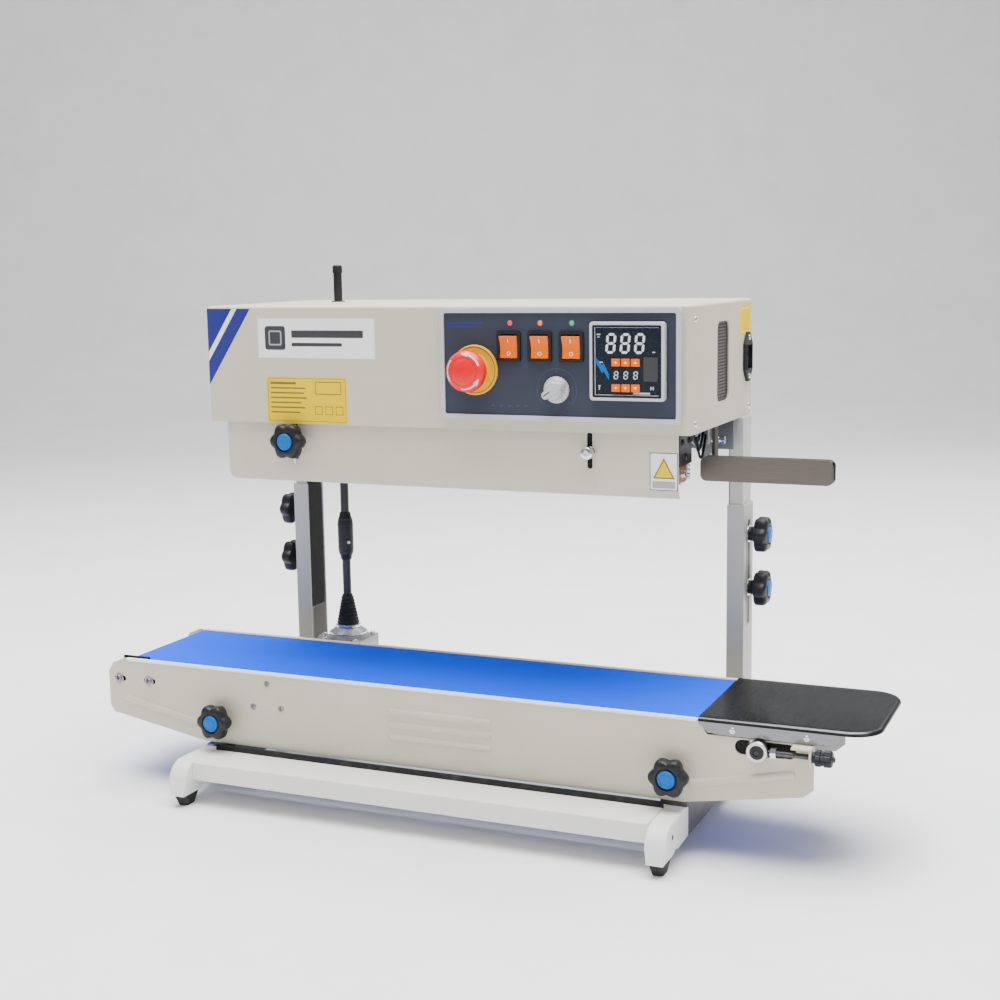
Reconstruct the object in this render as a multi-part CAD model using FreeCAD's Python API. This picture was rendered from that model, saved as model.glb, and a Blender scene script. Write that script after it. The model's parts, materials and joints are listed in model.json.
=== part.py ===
"""Continuous band sealer, vertical type: conveyor, base stand, sliding head and sealing drive.

Millimetres. +X to the right (infeed side), -Y to the front, +Z up.
The origin is on the floor, at the centre of the machine's footprint.
"""
import FreeCAD, Part
import math
import os

V = FreeCAD.Vector
X_AXIS, Y_AXIS, Z_AXIS = V(1, 0, 0), V(0, 1, 0), V(0, 0, 1)

# ---------------------------------------------------------------- driving dimensions
CENTRE_X = -28.0            # head, columns and base are symmetric about this plane
RUN = 0.05                  # radial clearance of every running or sliding fit

# head casing
HEAD_LENGTH, HEAD_DEPTH, HEAD_HEIGHT = 517.0, 218.0, 118.5
HEAD_FRONT, HEAD_BOTTOM = -92.5, 387.0
HEAD_LEFT = CENTRE_X - HEAD_LENGTH / 2
HEAD_RIGHT = CENTRE_X + HEAD_LENGTH / 2
HEAD_REAR = HEAD_FRONT + HEAD_DEPTH
HEAD_TOP = HEAD_BOTTOM + HEAD_HEIGHT
SHEET = 1.5

# control panel, on the right half of the head's front
PANEL_LEFT, PANEL_RIGHT, PANEL_LOW, PANEL_HIGH = -18.5, 222.5, 397.5, 503.0
PANEL_BORDER = 4.5
PANEL_BACK = HEAD_FRONT
PANEL_FACE = HEAD_FRONT - 3.0
PANEL_RIM = HEAD_FRONT - 4.5
ESTOP_X, ESTOP_Z = 18.0, 444.5
ESTOP_DISC_R = 24.0
ROCKER_X = [53.7, 85.2, 116.7]
ROCKER_Z = 467.0
ROCKER_W, ROCKER_H = 24.0, 28.0
KNOB_X, KNOB_Z = 101.5, 427.0
CONTROLLER_X, CONTROLLER_Z, CONTROLLER_SIZE = 172.7, 454.5, 72.0
BUTTON_PITCH, BUTTON_W, BUTTON_H = 9.4, 8.2, 7.0
BUTTON_ROWS = {"upper": 453.6, "lower": 430.2}
BUTTON_X = 171.5

# vertical drive shaft and the sealing drive
SHAFT_X, SHAFT_Y, SHAFT_R, SHAFT_TOP = -210.0, 48.0, 4.6, 545.0
SEAL_Y = -16.0              # the plane in which a bag's mouth is sealed
WHEEL_R, BAND_T, BAND_LOW, BAND_H = 29.0, 0.8, 346.0, 15.0
WHEEL_GAP = 60.0            # between the front and the rear wheels' axes
MODULE = 1.5
TEETH = {"band": 40, "shaft": 31, "motor": 20, "bevel": 20}
GEAR_LOW, GEAR_T = 396.0, 8.0
WHEEL_REAR_Y = SEAL_Y + WHEEL_GAP / 2
WHEEL_FRONT_Y = SEAL_Y - WHEEL_GAP / 2
BAND_GEAR_R = MODULE * TEETH["band"] / 2
SHAFT_GEAR_R = MODULE * TEETH["shaft"] / 2
MOTOR_GEAR_R = MODULE * TEETH["motor"] / 2
DRIVE_WHEEL_X = SHAFT_X + math.sqrt((BAND_GEAR_R + SHAFT_GEAR_R) ** 2 - (SHAFT_Y - WHEEL_REAR_Y) ** 2)
IDLE_WHEEL_X = DRIVE_WHEEL_X + 292.0
MOTOR_Y = WHEEL_REAR_Y + 26.0
MOTOR_X = DRIVE_WHEEL_X + math.sqrt((BAND_GEAR_R + MOTOR_GEAR_R) ** 2 - 26.0 ** 2)
PRESS_X, PRESS_R = -118.0, 14.0
WHEEL_SHAFT_R = 4.0

# front guard of the sealing section
GUARD_LEFT, GUARD_RIGHT, GUARD_LOW, GUARD_HIGH = -269.0, 217.5, 327.0, 399.0
GUARD_FRONT, GUARD_T, GUARD_LIP = -87.5, 1.2, 10.0
GUARD_KNOB_X, GUARD_KNOB_Z = -188.5, 370.0
THUMB_X, THUMB_Z = 131.0, 368.0
RAIL_FRONT = GUARD_FRONT + GUARD_T + 0.3

# columns
COLUMN_W, COLUMN_D, COLUMN_WALL = 18.0, 36.0, 2.0
COLUMN_OUT = 264.5          # outer face, from the centre plane
COLUMN_Y, COLUMN_TOP = 95.0, 298.0
POST_WALL, POST_LOW = 1.5, 152.0
COLUMN_KNOB_Z = {"lower": 210.0, "upper": 266.0}
COLUMN_SLOT = (172.0, 281.0)

# base
BEAM_W, BEAM_LOW, BEAM_TOP = 20.0, 17.0, 46.0
BEAM_HALF, BASE_HALF = 116.5, 190.0
BAR_OUT, BAR_BACK, BAR_LOW, BAR_TOP = 174.5, 130.0, 26.0, 45.8
FOOT_LOW = 12.0
FOOT_Y = 172.0

# conveyor
PLATE_LEFT, PLATE_RIGHT = CENTRE_X - 382.0, CENTRE_X + 382.0
PLATE_LOW, PLATE_HIGH, PLATE_T = 51.5, 132.0, 2.0
PLATE_FRONT, PLATE_REAR = -124.0, 20.0
BELT_T = 1.45
BELT_FRONT, BELT_REAR = -118.5, 14.5
ROLLER_Z, ROLLER_R = 110.0, 20.5
END_ROLLER_X, TENSION_X = -377.0, 305.0
DRIVE_ROLLER_X, DRIVE_ROLLER_Z, DRIVE_ROLLER_R = SHAFT_X, 104.0, 22.0
SNUB_R, SNUB_DX, SNUB_Z = 7.0, 36.0, 84.0
CLAMP_X = {"left": -267.5, "right": 224.0}
CLAMP_Z = 78.0
CLAMP_UP, CLAMP_DOWN = 10.0, 5.0        # the conveyor's height range about rest
TRAY_LEFT, TRAY_RIGHT, TRAY_LOW, TRAY_T = 248.0, 410.0, 133.0, 1.2
TRAY_FLANGE_LOW = 119.5

# star knobs
STAR_R, STAR_NECK, STAR_DEPTH, STAR_CAP_R = 19.0, 7.0, 14.5, 8.2

os.makedirs("parts", exist_ok=True)


# ---------------------------------------------------------------- small helpers
def box(x0, x1, y0, y1, z0, z1):
    """A block between two corners."""
    return Part.makeBox(x1 - x0, y1 - y0, z1 - z0, V(x0, y0, z0))


def cylinder(x, y, z, radius, length, axis=Z_AXIS):
    """A cylinder from a centre of its end, along an axis."""
    return Part.makeCylinder(radius, length, V(x, y, z), axis)


def fuse(*shapes):
    """One solid from several that touch."""
    return shapes[0].fuse(list(shapes[1:])).removeSplitter()


def prism_xz(points, y0, y1):
    """A polygon given as (x, z) points, extruded from y0 to y1."""
    wire = Part.makePolygon([V(x, y0, z) for x, z in points + points[:1]])
    return Part.Face(wire).extrude(V(0, y1 - y0, 0))


def prism_yz(points, x0, x1):
    """A polygon given as (y, z) points, extruded from x0 to x1."""
    wire = Part.makePolygon([V(x0, y, z) for y, z in points + points[:1]])
    return Part.Face(wire).extrude(V(x1 - x0, 0, 0))


def slot_y(x0, x1, z0, z1, y0, y1):
    """A slot with round ends, cut along Y; its long way is X or Z."""
    radius = min(x1 - x0, z1 - z0) / 2
    if x1 - x0 > z1 - z0:
        ends = [(x0 + radius, z0 + radius), (x1 - radius, z0 + radius)]
        middle = box(x0 + radius, x1 - radius, y0, y1, z0, z1)
    else:
        ends = [(x0 + radius, z0 + radius), (x0 + radius, z1 - radius)]
        middle = box(x0, x1, y0, y1, z0 + radius, z1 - radius)
    return fuse(middle, *[cylinder(x, y0, z, radius, y1 - y0, Y_AXIS) for x, z in ends])


def round_edges(shape, radius, wanted):
    """Fillets the edges that the wanted() test picks."""
    return shape.makeFillet(radius, [edge for edge in shape.Edges if wanted(edge)])


def along(axis):
    """A test for edges that run along an axis."""
    def test(edge):
        if len(edge.Vertexes) < 2:
            return False
        run = edge.Vertexes[1].Point.sub(edge.Vertexes[0].Point)
        return abs(abs(run.dot(axis)) - run.Length) < 1e-6 and run.Length > 1e-6
    return test


def revolve(profile, centre, axis=Z_AXIS):
    """A body of revolution from (radius, height) points, standing on centre along an axis."""
    wire = Part.makePolygon([V(r, 0, h) for r, h in profile + profile[:1]])
    solid = Part.Face(wire).revolve(V(0, 0, 0), Z_AXIS, 360)
    solid.Placement = FreeCAD.Placement(centre, FreeCAD.Rotation(Z_AXIS, axis))
    return solid


def save(name, *shapes):
    """Writes one node; several shapes stay separate solids."""
    shape = shapes[0] if len(shapes) == 1 else Part.makeCompound(list(shapes))
    shape.exportStep(f"parts/{name}.step")


# ---------------------------------------------------------------- loops round wheels
def tangent(a, b):
    """Where the belt leaves circle a and meets circle b; a circle is (x, y, radius, side).

    side is 1 where the belt runs anticlockwise round the circle and -1 where it runs clockwise.
    """
    (ax, ay, ar, side_a), (bx, by, br, side_b) = a, b
    length = math.hypot(bx - ax, by - ay)
    heading = math.atan2(by - ay, bx - ax)
    lean = math.asin((side_a * ar - side_b * br) / length)
    normal = heading - math.pi / 2 + lean
    nx, ny = math.cos(normal), math.sin(normal)
    return (ax + side_a * ar * nx, ay + side_a * ar * ny), (bx + side_b * br * nx, by + side_b * br * ny)


def loop_face(circles, place):
    """A face bounded by the taut loop round circles; place() maps flat points to space."""
    count = len(circles)
    spans = [tangent(circles[i], circles[(i + 1) % count]) for i in range(count)]
    edges = []
    for i, (start, end) in enumerate(spans):
        edges.append(Part.LineSegment(place(*start), place(*end)).toShape())
        x, y, radius, side = circles[(i + 1) % count]
        leave = spans[(i + 1) % count][0]
        first = math.atan2(end[1] - y, end[0] - x)
        sweep = (math.atan2(leave[1] - y, leave[0] - x) - first) * side % (2 * math.pi) * side
        middle = first + sweep / 2
        half = place(x + radius * math.cos(middle), y + radius * math.sin(middle))
        edges.append(Part.Arc(place(*end), half, place(*leave)).toShape())
    return Part.Face(Part.Wire(edges))


def belt_loop(circles, thickness, place, run):
    """A belt round circles, extruded by the vector run."""
    inner = [(x, y, r + RUN + (0 if side > 0 else thickness), side) for x, y, r, side in circles]
    outer = [(x, y, r + RUN + (thickness if side > 0 else 0), side) for x, y, r, side in circles]
    return loop_face(outer, place).extrude(run).cut(loop_face(inner, place).extrude(run))


# ---------------------------------------------------------------- gears
TOOTH_TIP, TOOTH_ROOT = 1.2, 1.7
TIP_W, PITCH_W, ROOT_W = 1.0, 1.9, 2.8


def spur_gear(x, y, z, teeth, phase, bore):
    """A straight-toothed gear; one tooth points at the angle phase, in radians."""
    pitch_r = MODULE * teeth / 2
    root_r = pitch_r - TOOTH_ROOT
    points = []
    for i in range(teeth):
        angle = phase + 2 * math.pi * i / teeth
        out = V(math.cos(angle), math.sin(angle), 0)
        side = V(-out.y, out.x, 0)
        for radius, width in ((root_r, -ROOT_W), (pitch_r, -PITCH_W), (pitch_r + TOOTH_TIP, -TIP_W),
                              (pitch_r + TOOTH_TIP, TIP_W), (pitch_r, PITCH_W), (root_r, ROOT_W)):
            points.append(out * radius + side * (width / 2) + V(x, y, z))
    blank = Part.Face(Part.makePolygon(points + points[:1])).extrude(V(0, 0, GEAR_T))
    return blank.cut(cylinder(x, y, z - 1, bore, GEAR_T + 2))


def mesh_phase(own, own_teeth, own_phase, other, other_teeth):
    """The phase that puts a gap of the other gear at this gear's tooth on the line of centres."""
    heading = math.atan2(other[1] - own[1], other[0] - own[0])
    ahead = (heading - own_phase) * own_teeth / (2 * math.pi)
    behind = 0.5 - ahead
    return heading + math.pi - behind * 2 * math.pi / other_teeth


def bevel_gear(phase, bore):
    """A 45 degree bevel gear with its apex at the origin and its axis along +Z."""
    teeth = TEETH["bevel"]
    pitch_r = MODULE * teeth / 2
    face = 7.0
    inner_scale = 1 - face / (pitch_r * math.sqrt(2))
    drop = TOOTH_ROOT / math.sqrt(2)
    lift = TOOTH_TIP / math.sqrt(2)
    root = (pitch_r - drop, pitch_r + drop)
    blank = revolve([(bore, root[1] * inner_scale), (root[0] * inner_scale, root[1] * inner_scale),
                     root, (root[0] - 2, root[1] + 4), (bore, root[1] + 4)], V(0, 0, 0))
    tooth_solids = []
    tip = (pitch_r + lift, pitch_r - lift)
    sunk = (root[0] - 0.4, root[1] + 0.4)
    for i in range(teeth):
        angle = phase + 2 * math.pi * i / teeth
        out = V(math.cos(angle), math.sin(angle), 0)
        side = V(-out.y, out.x, 0)
        wires = []
        for scale in (1.0, inner_scale):
            corners = []
            for (radius, height), width in ((sunk, -ROOT_W), (tip, -TIP_W), (tip, TIP_W), (sunk, ROOT_W)):
                corners.append((out * radius + side * (width / 2) + V(0, 0, height)) * scale)
            wires.append(Part.makePolygon(corners + corners[:1]))
        tooth_solids.append(Part.makeLoft(wires, True, True))
    return fuse(blank, *tooth_solids)


# ---------------------------------------------------------------- shared pieces
def star_knob(point, axis, screw_r, screw_length):
    """A six-lobed knob on a screw; it stands on point and grows along axis, the screw goes back."""
    lobes = [cylinder(0, 0, STAR_NECK, STAR_R - 3.5, STAR_DEPTH)]
    for i in range(6):
        angle = math.radians(30 + 60 * i)
        reach = STAR_R - 5.5
        lobes.append(cylinder(reach * math.cos(angle), reach * math.sin(angle), STAR_NECK, 5.5, STAR_DEPTH))
    neck = cylinder(0, 0, 0, 9.0, STAR_NECK + 1)
    cap = cylinder(0, 0, STAR_NECK + STAR_DEPTH - 1, STAR_CAP_R, 3.0)
    screw = cylinder(0, 0, -screw_length, screw_r, screw_length + 1)
    knob = fuse(neck, screw, cap, *lobes)
    knob.Placement = FreeCAD.Placement(point, FreeCAD.Rotation(Z_AXIS, axis))
    return knob


def roller(x, z, radius, axle_r, axle_front, axle_rear):
    """A conveyor roller between the plates, on an axle along Y."""
    barrel = cylinder(x, BELT_FRONT + 2, z, radius, BELT_REAR - BELT_FRONT - 4, Y_AXIS)
    axle = cylinder(x, axle_front, z, axle_r, axle_rear - axle_front, Y_AXIS)
    return fuse(barrel, axle)


# ---------------------------------------------------------------- base
def beam_span(side):
    """The two X limits of a base beam; side is -1 for left and 1 for right."""
    outer = CENTRE_X + side * COLUMN_OUT
    inner = outer - side * BEAM_W
    return min(outer, inner), max(outer, inner)


def base_beams():
    """Box beams front to back, each with two upright lugs that carry the conveyor."""
    wall = 1.5
    beams = []
    for side, name in ((-1, "left"), (1, "right")):
        x0, x1 = beam_span(side)
        beam = box(x0, x1, -BEAM_HALF, BEAM_HALF, BEAM_LOW, BEAM_TOP)
        beam = beam.cut(box(x0 + wall, x1 - wall, -BEAM_HALF, BEAM_HALF, BEAM_LOW + wall, BEAM_TOP - wall))
        x = CLAMP_X[name]
        lug_front = box(x - 13, x + 13, PLATE_FRONT + PLATE_T + 0.1, PLATE_FRONT + PLATE_T + 3.1,
                        BEAM_TOP, CLAMP_Z + 8)
        foot = box(max(x - 13, x0), min(x + 13, x1), PLATE_FRONT + PLATE_T + 0.1, -BEAM_HALF + 12,
                   BEAM_TOP, BEAM_TOP + 3)
        lug_rear = box(x - 13, x + 13, PLATE_REAR - PLATE_T - 3.1, PLATE_REAR - PLATE_T - 0.1,
                       BEAM_TOP, CLAMP_Z + 8)
        pin = cylinder(x, PLATE_REAR - PLATE_T - 1, CLAMP_Z, 4.0, 8.0, Y_AXIS)
        thread = cylinder(x, PLATE_FRONT, CLAMP_Z, 4.0 + RUN, 8, Y_AXIS)
        beams.append(fuse(beam, lug_front, foot, lug_rear, pin).cut(thread))
    return beams


def cross_bars():
    """Box bars across the front and the back, between the moulded feet."""
    wall = 1.5
    x0, x1 = beam_span(-1)[1], beam_span(1)[0]
    bars = []
    for side in (-1, 1):
        y0, y1 = sorted((side * BAR_OUT, side * BAR_BACK))
        bar = box(x0, x1, y0, y1, BAR_LOW, BAR_TOP)
        bar = round_edges(bar, 2.0, along(X_AXIS))
        bars.append(bar.cut(box(x0, x1, y0 + wall, y1 - wall, BAR_LOW + wall, BAR_TOP - wall)))
    return bars


def foot_outline(side, x):
    """The moulded foot's outline seen from the side, bulging to the front for side -1."""
    corners = [(166.0, BEAM_TOP), (BEAM_HALF, BEAM_TOP), (BEAM_HALF, BEAM_LOW), (151.0, 16.0), (157.0, FOOT_LOW),
               (188.0, FOOT_LOW), (BASE_HALF, 14.0), (187.5, 29.0)]
    points = [V(x, side * y, z) for y, z in corners]
    edges = [Part.makeLine(a, b) for a, b in zip(points, points[1:])]
    edges.append(Part.Arc(points[-1], V(x, side * 181.0, 40.5), points[0]).toShape())
    return Part.Face(Part.Wire(edges))


def foot_caps():
    """Moulded feet on the four beam ends, each with a plug inside its beam."""
    feet = []
    for side_x in (-1, 1):
        x0, x1 = beam_span(side_x)
        for side_y in (-1, 1):
            block = foot_outline(side_y, x0).extrude(V(x1 - x0, 0, 0))
            y0, y1 = sorted((side_y * 151.0, side_y * (BASE_HALF + 1)))
            block = block.cut(prism_xz([(x0, 27), (x0 - 1, 27), (x0 - 1, 11), (x0 + 2.3, 11)], y0, y1))
            block = block.cut(prism_xz([(x1, 27), (x1 + 1, 27), (x1 + 1, 11), (x1 - 2.3, 11)], y0, y1))
            block = round_edges(block, 2.0, lambda e: min(abs(v.Y) for v in e.Vertexes) > 165
                                and max(v.Z for v in e.Vertexes) - min(v.Z for v in e.Vertexes) > 9)
            y0, y1 = sorted((side_y * (BEAM_HALF - 14), side_y * (BEAM_HALF + 1)))
            plug = box(x0 + 1.6, x1 - 1.6, y0, y1, BEAM_LOW + 1.6, BEAM_TOP - 1.6)
            feet.append(fuse(block, plug))
    return feet


def base_rubber():
    """Tapered rubber pads under the moulded feet, and the strip behind the front bar."""
    pieces = []
    for side_x in (-1, 1):
        x = sum(beam_span(side_x)) / 2
        for y in (-FOOT_Y, FOOT_Y):
            pad = prism_xz([(x - 5.5, 0), (x + 5.5, 0), (x + 7.4, FOOT_LOW), (x - 7.4, FOOT_LOW)], y - 15, y + 15)
            pad = pad.common(prism_yz([(y - 8, 0), (y + 8, 0), (y + 13.5, FOOT_LOW), (y - 13.5, FOOT_LOW)],
                                      x - 10, x + 10))
            pieces.append(round_edges(pad, 3.5, lambda e: abs(e.Vertexes[0].Z - e.Vertexes[-1].Z) > 1))
    strip = box(beam_span(-1)[1] + 0.1, beam_span(1)[0] - 0.1, -BAR_BACK, -BAR_BACK + 1.6, BAR_LOW + 2, 51.2)
    return pieces + [strip]


def outer_columns():
    """Channels on the base beams, open towards each other, slotted for the clamp knobs."""
    columns = []
    for side in (-1, 1):
        outer = CENTRE_X + side * COLUMN_OUT
        inner = outer - side * COLUMN_W
        x0, x1 = min(outer, inner), max(outer, inner)
        y0, y1 = COLUMN_Y - COLUMN_D / 2, COLUMN_Y + COLUMN_D / 2
        channel = box(x0, x1, y0, y1, BEAM_TOP, COLUMN_TOP)
        hollow_x = sorted((outer - side * COLUMN_WALL, inner - side * 1.0))
        channel = channel.cut(box(hollow_x[0], hollow_x[1], y0 + COLUMN_WALL, y1 - COLUMN_WALL,
                                  BEAM_TOP, COLUMN_TOP))
        slot = box(outer - 4, outer + 4, COLUMN_Y - 4.2, COLUMN_Y + 4.2, *COLUMN_SLOT)
        columns.append(channel.cut(slot))
    return columns


# ---------------------------------------------------------------- conveyor
def plate_outline():
    """The side plates' outline: square top, ends drawn in below, as (x, z) points."""
    left, right = PLATE_LEFT, PLATE_RIGHT
    return [(left, 79), (left + 5, 71.5), (left + 120, PLATE_LOW), (right - 120, PLATE_LOW), (right - 9, 69.5),
            (right, 77), (right, 118.5), (TRAY_LEFT + 8, 118.5), (TRAY_LEFT, PLATE_HIGH),
            (left + 20, PLATE_HIGH), (left + 6, 126), (left, 116)]


def clamp_slot(x, y0, y1):
    """The upright slot in which a clamp screw lets the conveyor rise and sink."""
    return slot_y(x - 4.2, x + 4.2, CLAMP_Z - CLAMP_UP - 4.4, CLAMP_Z + CLAMP_DOWN + 4.4, y0, y1)


def plate_bead(x0, z0, x1, z1):
    """A stiffening bead pressed out of the front plate, round-backed and round-ended."""
    radius, proud = 4.0, 2.2
    y = PLATE_FRONT - proud + radius
    run = V(x1 - x0, 0, z1 - z0)
    bead = fuse(Part.makeCylinder(radius, run.Length, V(x0, y, z0), run),
                Part.makeSphere(radius, V(x0, y, z0)), Part.makeSphere(radius, V(x1, y, z1)))
    return bead.common(box(x0 - 9, x1 + 9, PLATE_FRONT - proud - 1, PLATE_FRONT + 0.5, 0, PLATE_HIGH))


def bearing_boss(x, z, outside_r, axle_r, y0, y1):
    """A ring welded inside a plate, in which an axle turns."""
    ring = cylinder(x, y0, z, outside_r, y1 - y0, Y_AXIS)
    return ring.cut(cylinder(x, y0 - 1, z, axle_r + RUN, y1 - y0 + 2, Y_AXIS))


def conveyor_front_plate():
    """The front side plate with its hem, beads, slots, bosses and the tension bracket."""
    inside = PLATE_FRONT + PLATE_T
    plate = prism_xz(plate_outline(), PLATE_FRONT, inside)
    hem = box(PLATE_LEFT + 26, TRAY_LEFT - 1, inside - 0.5, inside + 2.4, PLATE_HIGH - 1.5, PLATE_HIGH)
    beads = [plate_bead(PLATE_LEFT + 22, 89, PLATE_LEFT + 110, 70.5),
             plate_bead(PLATE_RIGHT - 112, 70.5, PLATE_RIGHT - 20, 89.5)]
    for row in range(3):
        beads.append(plate_bead(-68, 80 + 13 * row, 38, 80 + 13 * row))
    bracket = fuse(box(336, 354, PLATE_FRONT - 13, PLATE_FRONT + 0.5, 116.5, 118.5),
                   box(352, 354, PLATE_FRONT - 13, PLATE_FRONT + 0.5, 101, 118.5))
    rod_hole = cylinder(350, PLATE_FRONT - 7, ROLLER_Z, 2.5 + RUN, 6, X_AXIS)
    bosses = [bearing_boss(DRIVE_ROLLER_X, DRIVE_ROLLER_Z, 13, 5, inside - 0.2, BELT_FRONT - 0.2),
              bearing_boss(END_ROLLER_X, ROLLER_Z, 10, 4, inside - 0.2, BELT_FRONT - 0.2)]
    plate = fuse(plate, hem, bracket, *beads, *bosses).cut(rod_hole)
    plate = plate.cut(slot_y(282, 338, ROLLER_Z - 7, ROLLER_Z + 7, PLATE_FRONT - 1, inside + 1))
    for x in CLAMP_X.values():
        plate = plate.cut(clamp_slot(x, PLATE_FRONT - 1, inside + 1))
    for x0 in (-403, -365):
        plate = plate.cut(slot_y(x0, x0 + 15, 106.5, 112.5, PLATE_FRONT - 1, inside + 1))
    return plate


def conveyor_rear_plate():
    """The rear side plate, with the drive shaft's hole and the same slots."""
    inside = PLATE_REAR - PLATE_T
    plate = prism_xz(plate_outline(), inside, PLATE_REAR)
    boss = bearing_boss(END_ROLLER_X, ROLLER_Z, 10, 4, BELT_REAR + 0.2, inside + 0.2)
    plate = fuse(plate, boss)
    plate = plate.cut(cylinder(DRIVE_ROLLER_X, inside - 1, DRIVE_ROLLER_Z, 5 + RUN, 5, Y_AXIS))
    plate = plate.cut(slot_y(282, 338, ROLLER_Z - 7, ROLLER_Z + 7, inside - 1, PLATE_REAR + 1))
    for x in CLAMP_X.values():
        plate = plate.cut(clamp_slot(x, inside - 1, PLATE_REAR + 1))
    return plate


def slider_bed():
    """The sheet that the belt slides on, and the two snub bars that wrap it round the drive roller."""
    x0, x1 = END_ROLLER_X + 25, TENSION_X - 25
    y0, y1 = PLATE_FRONT + PLATE_T, PLATE_REAR - PLATE_T
    top = PLATE_HIGH - BELT_T - 0.1
    sheet = box(x0, x1, BELT_FRONT, BELT_REAR, top - 1.5, top)
    flanges = [box(x0, x1, y0, BELT_FRONT + 1, top - 11, top - 9.5),
               box(x0, x1, BELT_FRONT - 0.5, BELT_FRONT + 1, top - 11, top - 0.5),
               box(x0, x1, BELT_REAR - 1, y1, top - 11, top - 9.5),
               box(x0, x1, BELT_REAR - 1, BELT_REAR + 0.5, top - 11, top - 0.5)]
    notch = cylinder(DRIVE_ROLLER_X, y0 - 1, DRIVE_ROLLER_Z, DRIVE_ROLLER_R + 1.5, y1 - y0 + 2, Y_AXIS)
    bed = fuse(sheet, *flanges).cut(notch)
    snubs = [cylinder(DRIVE_ROLLER_X + side * SNUB_DX, y0, SNUB_Z, SNUB_R, y1 - y0, Y_AXIS) for side in (-1, 1)]
    return [bed, *snubs]


def conveyor_belt():
    """The endless belt: over the two end rollers, under the drive roller, over the snub bars."""
    circles = [(TENSION_X, ROLLER_Z, ROLLER_R, 1), (END_ROLLER_X, ROLLER_Z, ROLLER_R, 1),
               (DRIVE_ROLLER_X - SNUB_DX, SNUB_Z, SNUB_R, -1),
               (DRIVE_ROLLER_X, DRIVE_ROLLER_Z, DRIVE_ROLLER_R, 1),
               (DRIVE_ROLLER_X + SNUB_DX, SNUB_Z, SNUB_R, -1)]
    place = lambda x, z: V(x, BELT_FRONT, z)
    return belt_loop(circles, BELT_T, place, V(0, BELT_REAR - BELT_FRONT, 0))


def feeding_tray():
    """The infeed tray: a sheet with round outer corners and a flange down each side."""
    y0, y1 = PLATE_FRONT - TRAY_T - 0.1, PLATE_REAR + TRAY_T + 0.1
    sheet = box(TRAY_LEFT, TRAY_RIGHT, y0, y1, TRAY_LOW, TRAY_LOW + TRAY_T)
    sheet = round_edges(sheet, 28.0, lambda e: along(Z_AXIS)(e) and e.Vertexes[0].Point.x > 400)
    lip = box(TRAY_RIGHT - 4, TRAY_RIGHT, y0 + 28, y1 - 28, TRAY_LOW - 4, TRAY_LOW + TRAY_T)
    lip = lip.cut(cylinder(TRAY_RIGHT - 4, y0, TRAY_LOW - 2.8, 2.8, y1 - y0, Y_AXIS))
    lip = lip.cut(box(TRAY_RIGHT - 5, TRAY_RIGHT - 1.2, y0, y1, TRAY_LOW - 5, TRAY_LOW - 2.8))
    flanges = []
    for y in (y0, y1 - TRAY_T):
        flanges.append(prism_xz([(TRAY_LEFT + 14, TRAY_FLANGE_LOW), (TRAY_RIGHT - 42, TRAY_FLANGE_LOW),
                                 (TRAY_RIGHT - 24, TRAY_LOW + 0.5), (TRAY_LEFT, TRAY_LOW + 0.5),
                                 (TRAY_LEFT, TRAY_LOW - 4)], y, y + TRAY_T))
    return fuse(sheet, lip, *flanges)


def bevel_gearbox():
    """The housing behind the conveyor that turns the drive through a right angle."""
    x0, x1 = SHAFT_X - 25, SHAFT_X + 25
    y0, y1 = PLATE_REAR + 0.1, SHAFT_Y + 27
    z0, z1 = 80.0, 131.0
    wall = 3.5
    body = round_edges(box(x0, x1, y0, y1, z0, z1), 4.0, along(Z_AXIS))
    dome = revolve([(0, 0), (23, 0), (21, 6), (13, 13), (12, 15.5), (0, 15.5)], V(SHAFT_X, SHAFT_Y, z1))
    inside = box(x0 + wall, x1 - wall, y0 + wall, y1 - wall, z0 + wall, z1 - 1)
    bores = [cylinder(SHAFT_X, SHAFT_Y, z1 - 3, SHAFT_R + RUN, 30),
             cylinder(SHAFT_X, y0 - 1, DRIVE_ROLLER_Z, 5 + RUN, 10, Y_AXIS)]
    return fuse(body, dome).cut(inside).cut(bores[0]).cut(bores[1])


def drive_roller():
    """The driven roller with its shaft and the bevel gear on the shaft's far end."""
    turned = roller(DRIVE_ROLLER_X, DRIVE_ROLLER_Z, DRIVE_ROLLER_R, 5.0, PLATE_FRONT + PLATE_T + 0.1,
                    SHAFT_Y + 20)
    gear = bevel_gear(math.pi / TEETH["bevel"], 5.0 - 0.2)
    gear.Placement = FreeCAD.Placement(V(SHAFT_X, SHAFT_Y, DRIVE_ROLLER_Z), FreeCAD.Rotation(Z_AXIS, Y_AXIS))
    return fuse(turned, gear)


def drive_shaft():
    """The long vertical shaft with its bevel pinion, boot and coupling sleeve."""
    pinion = bevel_gear(0.0, SHAFT_R - 0.2)
    pinion.Placement = FreeCAD.Placement(V(SHAFT_X, SHAFT_Y, DRIVE_ROLLER_Z), FreeCAD.Rotation())
    low = DRIVE_ROLLER_Z + 11.0
    rod = cylinder(SHAFT_X, SHAFT_Y, low, SHAFT_R, SHAFT_TOP - low)
    centre = V(SHAFT_X, SHAFT_Y, 0)
    boot = revolve([(0, 147.2), (11.5, 147.2), (11.5, 151), (7.5, 166), (6.2, 178), (0, 178)], centre)
    sleeve = revolve([(0, 227), (8, 227), (8, 266), (0, 266)], centre)
    return fuse(rod, pinion, boot, sleeve)


def end_roller():
    """The idle roller at the outfeed end."""
    return roller(END_ROLLER_X, ROLLER_Z, ROLLER_R, 4.0, PLATE_FRONT + PLATE_T + 0.1, PLATE_REAR - PLATE_T - 0.1)


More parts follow.
